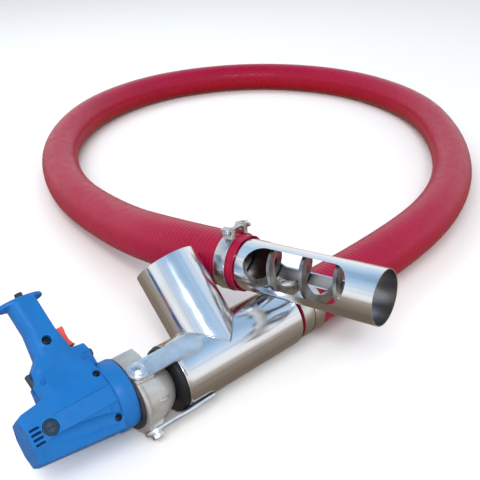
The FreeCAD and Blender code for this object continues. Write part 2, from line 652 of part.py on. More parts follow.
def ring_y(outer, inner, y0, y1, x, z):
    """A ring, or a disc where it has no bore, about an axis along Y."""
    low, high = min(y0, y1), max(y0, y1)
    disc = Part.makeCylinder(outer, high - low, Vector(x, low, z), Vector(0, 1, 0))
    return disc.cut(Part.makeCylinder(inner, high - low, Vector(x, low, z), Vector(0, 1, 0))) if inner else disc


def screw_seat(x, z):
    """How far from the parting plane the shell's outside lies at a screw."""
    if z > 60:
        return handle_half
    share = (x - barrel_rear) / (barrel_front - barrel_rear)
    half, sill = 33.0 + 8.0 * share, 18.0 + 6.0 * share
    roof, floor = 44.0 + 14.0 * share, -15.5 - 11.0 * share
    band = motor_z + 10.6 if z > motor_z else motor_z - 10.6
    edge = roof if z > motor_z else floor
    return half - (half - sill) * (z - band) / (edge - band)


def make_controls():
    trigger = profile(trigger_outline, -trigger_half, trigger_half)
    stem = rod(2.5, -193.0, -176.0, 0, 97.0)
    keep("trigger", fuse([trigger, stem]))
    switch = block(-214.0, -189.0, -9.0, 9.0, 73.0, 101.0)
    keep("trigger_switch", switch.cut(rod(2.8, -203.0, -188.0, 0, 97.0)))
    button = rod(3.2, -164.0, -153.0, 0, lock_z)
    keep("lock_button", fuse([button, rod(4.4, -164.0, -161.5, 0, lock_z)]))
    rocker = block(-235.0, -226.0, -6.0, 6.0, rocker_z - 11.7, rocker_z + 11.7)
    nose = block(-240.0, -230.0, -8, 8, rocker_z - 14, rocker_z + 14)
    nose.rotate(Vector(rocker_x, 0, rocker_z), Vector(0, 1, 0), -6.0)
    nose.translate(Vector(-3.6, 0, 0))
    pins = Part.makeCylinder(1.5, 16.0, Vector(rocker_x, -8.0, rocker_z), Vector(0, 1, 0))
    keep("reverse_rocker", fuse([rocker.cut(nose), pins]))
    inlet = post(4.95, -198.0, 0, 164.0, 178.5).cut(post(3.0, -198.0, 0, 160, 180))
    keep("cord_inlet", inlet)


def write_parts():
    os.makedirs("parts", exist_ok=True)
    for name, shape in NODES.items():
        shape.exportStep("parts/" + name + ".step")


def main():
    make_tee()
    make_straps()
    make_end_plug()
    make_intake()
    make_spiral()
    make_clamps()
    make_gearbox()
    make_gears()
    make_motor()
    make_shells()
    make_controls()
    make_hose()
    write_parts()
    for name, shape in NODES.items():
        print(name, shape.isValid(), len(shape.Solids), round(shape.Volume))


if __name__ == "__main__":
    main()
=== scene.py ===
"""Grain auger: the drill head, the hose in its loop and the intake tube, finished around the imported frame."""

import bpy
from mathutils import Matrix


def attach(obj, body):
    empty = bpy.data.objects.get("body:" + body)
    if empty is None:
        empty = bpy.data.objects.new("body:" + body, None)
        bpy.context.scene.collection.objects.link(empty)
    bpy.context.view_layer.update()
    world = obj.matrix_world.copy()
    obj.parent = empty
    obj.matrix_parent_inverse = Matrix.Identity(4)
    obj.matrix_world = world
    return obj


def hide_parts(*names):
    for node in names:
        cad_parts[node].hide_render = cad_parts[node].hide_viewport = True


bl_info = {
    "name": "Grain auger",
    "version": (1, 0, 0),
    "blender": (4, 5, 0),
    "location": "View3D > Sidebar > Grain auger",
    "description": "Builds the visible pieces of a drill-driven grain auger on its packed frame",
    "category": "Object",
}

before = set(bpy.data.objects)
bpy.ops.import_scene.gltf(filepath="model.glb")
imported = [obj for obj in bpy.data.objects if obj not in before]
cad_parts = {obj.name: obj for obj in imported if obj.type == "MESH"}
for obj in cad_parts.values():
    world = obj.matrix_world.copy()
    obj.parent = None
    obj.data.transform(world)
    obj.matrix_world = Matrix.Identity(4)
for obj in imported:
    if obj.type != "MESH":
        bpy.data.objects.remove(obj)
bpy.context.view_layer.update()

import math
import bmesh
import bpy
from bpy.props import FloatProperty, FloatVectorProperty, PointerProperty
from mathutils import Euler, Matrix, Vector

MM = 0.001
IN_PLACE = Matrix.Identity(4)                 # for a piece that is already in the row's frame
SAME_PLACE = 1e-4                             # two points nearer than this are one
MOULD_VOXEL = 0.95                            # mm, under the smallest slot
CAMERA_PLACE = Vector((-430.9, -547.8, 590.4))          # from the tee's centre
CAMERA_HEADING = Vector((0.657, 0.754, 0.0))
CAMERA_PITCH, CAMERA_ROLL = math.radians(28.4), math.radians(1.5)
CAMERA_LENS, CAMERA_SENSOR = 48.75, 36.0

# ---------------------------------------------------------------- places, in millimetres
CENTRE = Vector((14.25, 12.32, 0.0))          # the tee's centre, on the ground
AXIS_HEIGHT = 44.5
HEAD = (
    Matrix.Translation((CENTRE + Vector((0, 0, AXIS_HEIGHT))) * MM)
    @ Matrix.Rotation(math.radians(-48.0), 4, "X")
    @ Matrix.Scale(MM, 4)
)
LIP = CENTRE + Vector((98.8, 42.5, 123.0))    # where the hose ends on the intake tube
INTAKE_TILT, INTAKE_HEADING = -5.6, -78.2     # degrees
INTAKE_TURN = (
    Matrix.Rotation(math.radians(INTAKE_HEADING), 4, "Z") @ Matrix.Rotation(math.radians(INTAKE_TILT), 4, "Y"))
INTAKE = Matrix.Translation(LIP * MM) @ INTAKE_TURN @ Matrix.Scale(MM, 4)
INTAKE_WAY = (INTAKE_TURN @ Vector((1, 0, 0))).normalized()
BRANCH_TURN = (0.0, -42.0, 90.0)              # turns the X axis along the branch
MOTOR_Z = 15.0
BARREL_REAR, BARREL_FRONT = -262.0, -165.0
SIDE_BAND = 10.6                              # half height of the barrel's flat side
BRUSH_X = -243.4
GRIP_SCREW = (-198.0, 108.4)                  # along X and Z
LOCK_Z = 75.0
STRAP_BOLT_X = -128.0
STRAPS = {"near": 150.0, "low": 270.0, "far": 30.0}     # where each lies round the tee, in degrees
UPPER_STRAPS = (STRAPS["near"], STRAPS["far"])
CLAMP_BOLT_Z = 50.05                          # the T-bolt's height over the hose's middle
CLAMP_PLACES = (
    ("intake_clamp", INTAKE, -22.0, 84.0, "intake_wing_nut"),
    ("outlet_clamp_a", HEAD, 139.0, 53.0, "outlet_wing_nut_a"),
    ("outlet_clamp_b", HEAD, 160.5, 64.0, "outlet_wing_nut_b"),
)
HOSE_EXIT = CENTRE + Vector((127.5, 0.0, AXIS_HEIGHT))
HOSE_POINTS = (
    (405.0, 0.0, 44.5),
    (685.0, 70.0, 41.3),
    (930.0, 235.0, 41.3),
    (1135.0, 475.0, 41.3),
    (1190.0, 785.0, 41.3),
    (1045.0, 1055.0, 41.3),
    (760.0, 1175.0, 41.3),
    (465.0, 1105.0, 41.3),
    (240.0, 900.0, 41.3),
    (120.0, 640.0, 42.0),
    (85.0, 375.0, 66.0),
)
HANDLE_OUTLINE = (
    (-218.6, 168.0), (-184.4, 168.0), (-184.2, 158.0), (-181.4, 119.5), (-175.6, 89.2), (-159.5, 87.6),
    (-156.4, 77.0), (-155.6, 46.0), (-234.2, 38.0), (-234.2, 49.4), (-232.6, 68.6), (-230.4, 82.7),
    (-218.5, 95.5), (-215.6, 129.0),
)


# ---------------------------------------------------------------- sizes and colours a user may change
def colour_setting(name, description, default):
    return FloatVectorProperty(
        name=name, description=description, subtype="COLOR", size=3, min=0.0, max=1.0, default=default)


class AugerHoseSettings(bpy.types.PropertyGroup):
    diameter: FloatProperty(
        name="Outside diameter", description="Outside diameter of the hose", default=0.082, unit="LENGTH")
    rib_pitch: FloatProperty(
        name="Rib pitch", description="Distance from one moulded rib to the next", default=0.0076, unit="LENGTH")
    rib_height: FloatProperty(
        name="Rib height", description="How far a rib stands above its valley", default=0.0006, unit="LENGTH")
    # painted sheen and shade: the hose colour is painted on the hose's top and the low colour on its underside, by
    # height
    colour: colour_setting("Hose colour", "Colour of the hose in the light", (0.340, 0.006, 0.040))
    painted_sheen_low_colour: colour_setting(
        "Colour of the hose's underside", "Warmer red near the ground", (0.330, 0.005, 0.010))


class AugerDrillSettings(bpy.types.PropertyGroup):
    shell_colour: colour_setting("Shell colour", "Colour of the drill's mouldings", (0.004, 0.135, 0.430))
    trigger_colour: colour_setting("Trigger colour", "Colour of the trigger", (0.70, 0.085, 0.070))
    cap_colour: colour_setting("Brush cap colour", "Colour of the brush caps", (0.012, 0.034, 0.068))
    casting_colour: colour_setting(
        "Casting colour", "Colour of the gearbox casting", (0.60, 0.585, 0.56))


class AugerSteelSettings(bpy.types.PropertyGroup):
    tube_roughness: FloatProperty(
        name="Tube roughness", description="How dull the polished tubes are", default=0.16, min=0.02, max=1.0)
    plate_roughness: FloatProperty(
        name="Strip roughness", description="How dull straps and clamps are", default=0.30, min=0.02, max=1.0)


class AugerStageSettings(bpy.types.PropertyGroup):
    light: FloatProperty(
        name="Light", description="Share of the studio lights' power", default=1.0, min=0.0, max=5.0)


# ---------------------------------------------------------------- modelling by hand, in steps
def object_mode():
    if bpy.context.object and bpy.context.object.mode != "OBJECT":
        bpy.ops.object.mode_set(mode="OBJECT")


def deselect():
    object_mode()
    bpy.ops.object.select_all(action="DESELECT")


def take(*objects):
    """Selects these objects alone; the first is the active one."""
    deselect()
    for each in objects:
        each.select_set(True)
    bpy.context.view_layer.objects.active = objects[0]
    return objects[0]


def edit(obj, select="DESELECT"):
    take(obj)
    bpy.ops.object.mode_set(mode="EDIT")
    bpy.ops.mesh.select_mode(type="VERT")
    bpy.ops.mesh.select_all(action=select)


def done():
    bpy.ops.object.mode_set(mode="OBJECT")
    return bpy.context.object


def pick(test):
    """In edit mode, selects the vertices whose place passes a test."""
    bpy.ops.mesh.select_all(action="DESELECT")
    mesh = bmesh.from_edit_mesh(bpy.context.object.data)
    for v in mesh.verts:
        v.select_set(test(v.co))
    mesh.select_flush_mode()
    bmesh.update_edit_mesh(bpy.context.object.data)


def settle(obj, place=Matrix.Identity(4)):
    """Puts an object through a placement and leaves the placement in its mesh."""
    take(obj)
    obj.matrix_world = place @ obj.matrix_world
    bpy.ops.object.transform_apply(location=True, rotation=True, scale=True)
    return obj


def shifted(obj, x=0.0, y=0.0, z=0.0):
    return settle(obj, Matrix.Translation((x, y, z)))


def turned(obj, angle, axis="X", about=(0, 0, 0)):
    """Turns an object's mesh about a line through a point."""
    turn = Matrix.Rotation(math.radians(angle), 4, axis)
    return settle(obj, Matrix.Translation(about) @ turn @ Matrix.Translation(-Vector(about)))


def bar(radius, depth, middle, turn, sides):
    deselect()
    bpy.ops.mesh.primitive_cylinder_add(
        vertices=sides, radius=radius, depth=depth, location=middle, rotation=turn)
    return settle_new()


def settle_new():
    bpy.ops.object.transform_apply(location=True, rotation=True, scale=True)
    return bpy.context.object


def rod(radius, x0, x1, y=0.0, z=0.0, sides=64):
    """A round bar along X."""
    return bar(radius, x1 - x0, ((x0 + x1) / 2, y, z), (0, math.pi / 2, 0), sides)


def peg(radius, x, z, y0, y1, sides=48):
    """A round bar along Y."""
    return bar(radius, abs(y1 - y0), (x, (y0 + y1) / 2, z), (math.pi / 2, 0, 0), sides)


def post(radius, x, y, z0, z1, sides=48):
    """A round bar along Z."""
    return bar(radius, z1 - z0, (x, y, (z0 + z1) / 2), (0, 0, 0), sides)


def block(x0, x1, y0, y1, z0, z1):
    deselect()
    bpy.ops.mesh.primitive_cube_add(
        size=1.0, location=((x0 + x1) / 2, (y0 + y1) / 2, (z0 + z1) / 2),
        scale=(abs(x1 - x0), abs(y1 - y0), abs(z1 - z0)))
    return settle_new()


def ball(radii, place, segments=32, rings=16):
    deselect()
    bpy.ops.mesh.primitive_uv_sphere_add(
        segments=segments, ring_count=rings, radius=1.0, location=place, scale=radii)
    return settle_new()


def blank_mesh():
    """An empty mesh, open in edit mode."""
    deselect()
    bpy.ops.mesh.primitive_plane_add(size=1.0)
    edit(bpy.context.object, "SELECT")
    bpy.ops.mesh.delete(type="VERT")


def closed_mesh(threshold=None):
    """Merges what meets, turns every face outwards and leaves edit mode."""
    bpy.ops.mesh.select_all(action="SELECT")
    if threshold:
        bpy.ops.mesh.remove_doubles(threshold=threshold)
        bpy.ops.mesh.select_all(action="SELECT")
    bpy.ops.mesh.normals_make_consistent(inside=False)
    return done()


def draw_line(points):
    """In edit mode, draws a line from point to point, starting with a vertex of a small plane."""
    at = Vector(points[0])
    bpy.ops.mesh.select_all(action="DESELECT")
    bpy.ops.mesh.primitive_plane_add(size=1.0, location=at)
    bpy.ops.mesh.merge(type="CENTER")
    for point in points[1:]:
        step = Vector(point) - at
        bpy.ops.mesh.extrude_vertices_move(TRANSFORM_OT_translate={"value": step})
        at = Vector(point)


def pick_near(places):
    pick(lambda co: any((co - p).length < SAME_PLACE for p in places))


def loft(sections):
    """A solid through closed sections with as many corners each, from first to last."""
    blank_mesh()
    rows = [[Vector(p) for p in section] for section in sections]
    for row in rows:
        draw_line(row)
        pick_near((row[0], row[-1]))
        bpy.ops.mesh.edge_face_add()
    for near, far in zip(rows, rows[1:]):
        pick_near(near + far)
        bpy.ops.mesh.bridge_edge_loops()
    for row in (rows[0], rows[-1]):
        pick_near(row)
        bpy.ops.mesh.edge_face_add()
    return closed_mesh()


def plate(outline, y0, y1):
    """A flat plate of this outline in X and Z, between two places along Y."""
    return loft([[(x, y, z) for x, z in outline] for y in (y0, y1)])


def inset_outline(points, depth):
    """The outline with every side moved inwards; its corners run clockwise in X and Z."""
    moved = []
    for before, here, after in zip(points[-1:] + points[:-1], points, points[1:] + points[:1]):
        ax, az = here[0] - before[0], here[1] - before[1]
        bx, bz = after[0] - here[0], after[1] - here[1]
        a, b = math.hypot(ax, az), math.hypot(bx, bz)
        nx, nz = az / a + bz / b, -ax / a - bx / b
        scale = 2 * depth / (nx * nx + nz * nz)
        moved.append((here[0] + nx * scale, here[1] + nz * scale))
    return moved


def modify(obj, kind, **settings):
    """Adds a modifier with these settings and applies it."""
    take(obj)
    made = obj.modifiers.new(kind.title(), kind)
    for key, value in settings.items():
        setattr(made, key, value)
    bpy.ops.object.modifier_apply(modifier=made.name)
    return obj


def combine(obj, tools, operation="UNION"):
    """Adds or cuts each tool and removes it."""
    for tool in tools:
        faces = len(obj.data.polygons)
        modify(obj, "BOOLEAN", operation=operation, object=tool, solver="EXACT")
        if len(obj.data.polygons) < faces // 2:
            raise RuntimeError("a tool took away most of " + obj.name)
        bpy.data.objects.remove(tool, do_unlink=True)
    return obj


def joined(objects):
    take(*objects)
    if len(objects) > 1:
        bpy.ops.object.join()
    return bpy.context.object


def moulded(obj, rounds):
    """Gives a piece the soft edges of a moulding or casting."""
    modify(obj, "REMESH", mode="VOXEL", voxel_size=MOULD_VOXEL)
    return modify(obj, "SMOOTH", factor=0.5, iterations=rounds)


def softened(obj, width, segments=2, angle=35.0):
    """Takes a small radius along the sharp edges."""
    return modify(
        obj, "BEVEL", width=width, segments=segments, limit_method="ANGLE", angle_limit=math.radians(angle),
        harden_normals=False, use_clamp_overlap=True)


def place_piece(obj, name, place, body, material, nodes=(), smooth=40.0):
    """Puts a finished piece in the row's frame, names it, hangs it on its body and hides the nodes it stands in for.
    """
    settle(obj, place)
    bpy.ops.object.shade_smooth_by_angle(angle=math.radians(smooth))
    obj.name = name
    obj.data.name = name
    obj.data.materials.clear()
    obj.data.materials.append(material)
    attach(obj, body)
    if nodes:
        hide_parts(*nodes)
    return obj


def finish_node(name, material):
    """Gives a CAD node that keeps its shape a finish of its own."""
    for place in bpy.data.objects[name].material_slots:
        place.material = material


# ---------------------------------------------------------------- finishes
class Finish:
    """A procedural material, built up step by step on one shader."""

    def __init__(self, name, colour, roughness, metallic=0.0):
        self.material = bpy.data.materials.new(name)
        self.material.use_nodes = True
        self.nodes = self.material.node_tree.nodes
        self.links = self.material.node_tree.links
        self.shader = next(n for n in self.nodes if n.type == "BSDF_PRINCIPLED")
        self.shader.inputs["Base Color"].default_value = (*colour, 1.0)
        self.shader.inputs["Roughness"].default_value = roughness
        self.shader.inputs["Metallic"].default_value = metallic
        self.normal = None

    def set(self, **values):
        for key, value in values.items():
            self.shader.inputs[key.replace("_", " ")].default_value = value

    def node(self, kind, **values):
        """A new node with these inputs: a socket is linked, anything else is set."""
        node = self.nodes.new("ShaderNode" + kind)
        for key, value in values.items():
            socket = node.inputs[key.replace("_", " ")]
            if isinstance(value, bpy.types.NodeSocket):
                self.links.new(value, socket)
            else:
                socket.default_value = value
        return node

    def place(self):
        return self.node("TexCoord").outputs["Object"]

    def pattern(self, scale=100.0, detail=3.0, stretch=(1, 1, 1), turn=(0, 0, 0), cells=False):
        """A pattern's value from 0 to 1: clouds, or round cells."""
        across = any(turn)
        mapping = self.node(
            "Mapping", Vector=self.place(), Rotation=[math.radians(a) for a in turn],
            Scale=[1 / s for s in stretch] if across else stretch)
        mapping.vector_type = "TEXTURE" if across else "POINT"
        if cells:
            return self.node("TexVoronoi", Vector=mapping.outputs[0], Scale=scale).outputs["Distance"]
        return self.node("TexNoise", Vector=mapping.outputs[0], Scale=scale, Detail=detail).outputs["Fac"]

    def ramp(self, value, low, high, start=0.0, end=1.0):
        return self.node(
            "MapRange", Value=value, From_Min=low, From_Max=high, To_Min=start, To_Max=end).outputs["Result"]

    def colour(self, value, low, high):
        """Base colour between two colours, by a value from 0 to 1; low may be a socket."""
        mix = self.node("Mix", Factor=value)
        mix.data_type = "RGBA"
        for socket, given in ((mix.inputs[6], low), (mix.inputs[7], high)):
            if isinstance(given, bpy.types.NodeSocket):
                self.links.new(given, socket)
            else:
                socket.default_value = (*given, 1.0)
        self.links.new(mix.outputs[2], self.shader.inputs["Base Color"])
        return mix.outputs[2]

    def rough(self, value, low, high):
        self.links.new(self.ramp(value, 0.3, 0.7, low, high), self.shader.inputs["Roughness"])

    def bump(self, value, strength, distance):
        node = self.node("Bump", Strength=strength, Distance=distance, Height=value)
        if self.normal:
            self.links.new(self.normal, node.inputs["Normal"])
        self.normal = node.outputs["Normal"]
        self.links.new(self.normal, self.shader.inputs["Normal"])

    def edges(self):
        """A value that rises on convex edges of a finely divided mesh."""
        return self.ramp(self.node("NewGeometry").outputs["Pointiness"], 0.53, 0.62)

    def vector_math(self, operation, first, second=(0, 0, 0)):
        node = self.node("VectorMath")
        node.operation = operation
        self.links.new(first, node.inputs[0])
        node.inputs[1].default_value = second
        return node

    def radius(self, centre, turn):
        """Distance from a line through a point, in metres; the line is the X axis turned so."""
        way = Euler([math.radians(a) for a in turn]).to_matrix() @ Vector((1, 0, 0))
        away = self.vector_math("SUBTRACT", self.place(), centre).outputs[0]
        across = self.vector_math("CROSS_PRODUCT", away, way).outputs[0]
        return self.vector_math("LENGTH", across).outputs["Value"]

    def mixed(self, share, low, high):
        """A number between two, by a share from 0 to 1; low is a socket."""
        mix = self.node("Mix", Factor=share)
        self.links.new(low, mix.inputs[2])
        mix.inputs[3].default_value = high
        return mix.outputs[0]

    def height(self, low, high):
        """A value from 0 at one height to 1 at another."""
        return self.ramp(self.node("SeparateXYZ", Vector=self.place()).outputs["Z"], low, high)


def tinted(colour, share):
    return tuple(min(1.0, c * share) for c in colour)


def polished_tube(name, centre, turn, bore):
    """Polished stainless tube on its own axis: drawn scratches outside; inside the bore a duller wall, painted dark
    grey as painted shade.
    """
    steel = bpy.context.scene.auger_steel
    made = Finish(name, (0.74, 0.75, 0.77), steel.tube_roughness, 1.0)
    radius = made.radius(centre, turn)
    # painted shade: a mask that is 1 inside the bore, where the wall gets painted shade
    inside = made.ramp(radius, (bore - 0.1) * MM, (bore + 0.3) * MM, 1.0, 0.0)
    streak = made.pattern(scale=160.0, detail=5.0, stretch=(0.03, 1, 1), turn=turn)
    shade = made.colour(made.ramp(streak, 0.50, 0.78), (0.80, 0.81, 0.83), (0.60, 0.60, 0.62))
    smudge = made.ramp(made.pattern(scale=16.0, detail=4.0), 0.48, 0.75, 0.0, 0.5)
    shade = made.colour(smudge, shade, (0.68, 0.68, 0.69))
    # painted shade: the bore's wall is painted dark grey
    made.colour(inside, shade, (0.30, 0.28, 0.27))
    made.rough(made.pattern(scale=26.0, detail=5.0), steel.tube_roughness * 0.7, steel.tube_roughness * 1.5)
    dull = made.mixed(inside, made.shader.inputs["Roughness"].links[0].from_socket, 0.34)
    made.links.new(dull, made.shader.inputs["Roughness"])
    made.bump(made.pattern(scale=900.0, detail=2.0, stretch=(0.02, 1, 1), turn=turn), 0.10, 0.0002)
    made.bump(made.pattern(scale=7.0, detail=1.0), 0.10, 0.0025)
    return made.material


def strip_steel(name, colour=(0.60, 0.60, 0.60), rough=None):
    rough = rough or bpy.context.scene.auger_steel.plate_roughness
    made = Finish(name, colour, rough, 1.0)
    made.colour(made.ramp(made.pattern(scale=70.0, detail=4.0), 0.45, 0.80), colour, tinted(colour, 0.80))
    made.rough(made.pattern(scale=120.0, detail=4.0), rough * 0.85, rough * 1.3)
    made.bump(made.pattern(scale=1500.0, detail=2.0), 0.08, 0.0002)
    return made.material


def moulded_plastic(name, colour, rough=0.38, scuff=0.35):
    """Moulded plastic with a fine spark-eroded texture, paler along worn edges and dusty in patches."""
    made = Finish(name, colour, rough)
    made.set(Coat_Weight=0.06, Coat_Roughness=0.30, Specular_IOR_Level=0.28)
    pale = tuple(c + (0.5 - c) * 0.22 for c in colour)
    worn = made.colour(made.ramp(made.pattern(scale=35.0, detail=5.0), 0.45, 0.8), colour, tinted(colour, 0.82))
    made.colour(made.ramp(made.edges(), 0.0, 1.0, 0.0, scuff), worn, pale)
    made.rough(made.pattern(scale=90.0, detail=4.0), rough * 0.85, rough * 1.25)
    made.bump(made.pattern(scale=1800.0, detail=1.0), 0.20, 0.0002)
    return made.material


def cast_metal(name, colour):
    """Die-cast aluminium, blasted, with fine pits."""
    made = Finish(name, colour, 0.45, 0.65)
    stain = made.pattern(scale=38.0, detail=5.0)
    made.colour(made.ramp(stain, 0.4, 0.75), colour, tinted(colour, 0.68))
    made.rough(made.pattern(scale=150.0, detail=3.0), 0.36, 0.60)
    made.bump(made.pattern(scale=620.0, detail=4.0), 0.35, 0.0004)
    made.bump(made.pattern(scale=260.0, cells=True), 0.10, 0.0004)
    return made.material


def hose_plastic():
    """Glossy soft plastic: painted sheen and shade by height, crimson on top where the light falls and a warmer red
    low down; scuffed on the ribs.
    """
    hose = bpy.context.scene.auger_hose
    made = Finish("hose_crimson", hose.colour, 0.24)
    made.set(Coat_Weight=0.10, Coat_Roughness=0.08, Specular_IOR_Level=0.14)
    # painted sheen and shade: colour goes by height, crimson on the hose's top, a warmer red low down
    shade = made.colour(made.height(0.020, 0.066), tuple(hose.painted_sheen_low_colour), tuple(hose.colour))
    patch = made.ramp(made.pattern(scale=9.0, detail=3.0), 0.35, 0.70, 0.0, 0.35)
    shade = made.colour(patch, shade, tinted(hose.colour, 0.72))
    chalk = made.ramp(made.pattern(scale=85.0, detail=8.0), 0.62, 0.78, 0.0, 0.20)
    made.colour(chalk, shade, (0.50, 0.07, 0.13))
    made.rough(made.pattern(scale=60.0, detail=5.0), 0.16, 0.38)
    made.bump(made.pattern(scale=260.0, detail=4.0), 0.16, 0.0006)
    made.bump(made.pattern(scale=26.0, detail=2.0), 0.10, 0.0020)
    return made.material


def rubber(name, colour=(0.018, 0.018, 0.020)):
    made = Finish(name, colour, 0.5)
    made.colour(made.ramp(made.pattern(scale=80.0), 0.4, 0.7), colour, tinted(colour, 2.2))
    made.rough(made.pattern(scale=200.0), 0.40, 0.62)
    made.bump(made.pattern(scale=900.0), 0.15, 0.0002)
    return made.material


# ---------------------------------------------------------------- shapes several pieces share
def lathe(profile, sides=48):
    """A solid turned about X: profile is a list of places along the axis and radii, from end to end."""
    blank_mesh()
    draw_line([(x, 0.0, r) for x, r in profile])
    bpy.ops.mesh.select_all(action="SELECT")
    bpy.ops.mesh.spin(steps=sides, angle=2 * math.pi, center=(0, 0, 0), axis=(1, 0, 0), dupli=False)
    return closed_mesh(SAME_PLACE)


def upright(obj):
    """Stands a piece turned about X on end, along Z."""
    return turned(obj, -90.0, "Y")


def refined(node, width, segments=2, angle=38.0):
    """A copy of a CAD node with a small radius along its edges."""
    take(bpy.data.objects[node])
    bpy.ops.object.duplicate(linked=False)
    obj = bpy.context.object
    for key in list(obj.keys()):
        del obj[key]
    obj.parent = None
    obj.matrix_world = Matrix.Identity(4)
    obj.hide_render = False
    edit(obj, "SELECT")
    bpy.ops.mesh.remove_doubles(threshold=2e-6)
    bpy.ops.mesh.select_all(action="SELECT")
    bpy.ops.mesh.dissolve_limited(angle_limit=math.radians(1.0))
    done()
    if width:
        softened(obj, width * MM, segments, angle)
    return obj


def bead(name, points, radius):
    """A round bead laid along a ring of points."""
    line = bpy.data.curves.new(name, "CURVE")
    line.dimensions = "3D"
    line.bevel_depth = radius
    line.bevel_resolution = 2
    spline = line.splines.new("POLY")
    spline.points.add(len(points) - 1)
    for point, place in zip(spline.points, points):
        point.co = (*place, 1.0)
    spline.use_cyclic_u = True
    obj = bpy.data.objects.new(name, line)
    bpy.context.collection.objects.link(obj)
    take(obj)
    bpy.ops.object.convert(target="MESH")
    edit(bpy.context.object, "SELECT")
    return closed_mesh(1e-5)


def hexagon_bolt(across_flats, height, length, place):
    """A hexagon head with a chamfered top, and its shank below it, along Z."""
    head = post(across_flats / math.sqrt(3), 0, 0, 0, height, 6)
    wide, narrow = across_flats * 0.62, across_flats * 0.47
    crown = upright(lathe([(0.0, 0.0), (0.0, wide), (height - 1.4, wide), (height, narrow), (height, 0.0)]))
    modify(head, "BOOLEAN", operation="INTERSECT", object=crown, solver="EXACT")
    bpy.data.objects.remove(crown, do_unlink=True)
    combine(head, [post(4.0, 0, 0, -length, 0.5, 32)])
    return shifted(head, *place)


# ---------------------------------------------------------------- drill
def barrel_size(x):
    """Half width, half width of roof and floor, roof and floor height of the barrel at one place along it."""
    share = (x - BARREL_REAR) / (BARREL_FRONT - BARREL_REAR)
    return 33.0 + 8.0 * share, 18.0 + 6.0 * share, 44.0 + 14.0 * share, -15.5 - 11.0 * share


def barrel_section(x):
    """Eight corners of the motor barrel, flat-sided at the motor's height."""
    half, sill, roof, floor = barrel_size(x)
    if x < BARREL_REAR:
        half, sill, roof, floor = 28.0, 16.5, 40.5, -12.5
    corners = [(half, MOTOR_Z + SIDE_BAND), (sill, roof), (-sill, roof), (-half, MOTOR_Z + SIDE_BAND)]
    corners += [(-half, MOTOR_Z - SIDE_BAND), (-sill, floor), (sill, floor), (half, MOTOR_Z - SIDE_BAND)]
    return [(x, y, z) for y, z in corners]


def facet_depth(x, z):
    """How far from the middle the barrel's outside lies."""
    half, sill, roof, floor = barrel_size(x)
    if abs(z - MOTOR_Z) < SIDE_BAND:
        return half
    edge, band = (roof, MOTOR_Z + SIDE_BAND) if z > MOTOR_Z else (floor, MOTOR_Z - SIDE_BAND)
    return half - (half - sill) * (z - band) / (edge - band)


# each screw's place along X and Z, how deep the side lies there, and its seat's radius
SCREW_PLACES = (
    (*GRIP_SCREW, 17.2, 5.8), (-169.5, 45.0, 32.2, 4.6), (-170.3, -12.0, facet_depth(-170.3, -12.0), 4.6))


def both_sides(make):
    """The same tool on the near and the far side; make is given -1 and 1."""
    return [tool for side in (-1, 1) for tool in make(side)]


def handle_solid():
    """The grip: flat-sided in front, well rounded at the back, with an oval rim at its end."""
    levels = [(-17.0, 3.4, 13.0), (-16.7, 2.2, 10.0), (-15.6, 1.1, 6.4),
              (-13.4, 0.4, 3.4), (-10.0, 0.0, 1.2), (0.0, 0.0, 0.0)]
    levels += [(-y, front, back) for y, front, back in reversed(levels[:-1])]
    rows = []
    for y, front, back in levels:
        row = inset_outline(HANDLE_OUTLINE, front)
        rows.append([(x + (back - front) * (x < -200.0) * (z > 60.0), y, z) for x, z in row])
    handle = loft(rows)
    oval = [(2.4, 0.0), (2.4, 0.92), (3.2, 0.98), (4.4, 1.0), (6.4, 1.0), (7.8, 0.98), (8.6, 0.93), (8.7, 0.0)]
    rim_half, rim_reach = 16.4, 30.5
    rim = upright(lathe([(z, rim_half * r) for z, r in oval], 64))
    settle(rim, Matrix.Translation((-202.4, 0, 162.0)) @ Matrix.Diagonal((rim_reach / rim_half, 1, 1, 1)))
    return combine(handle, [rim])


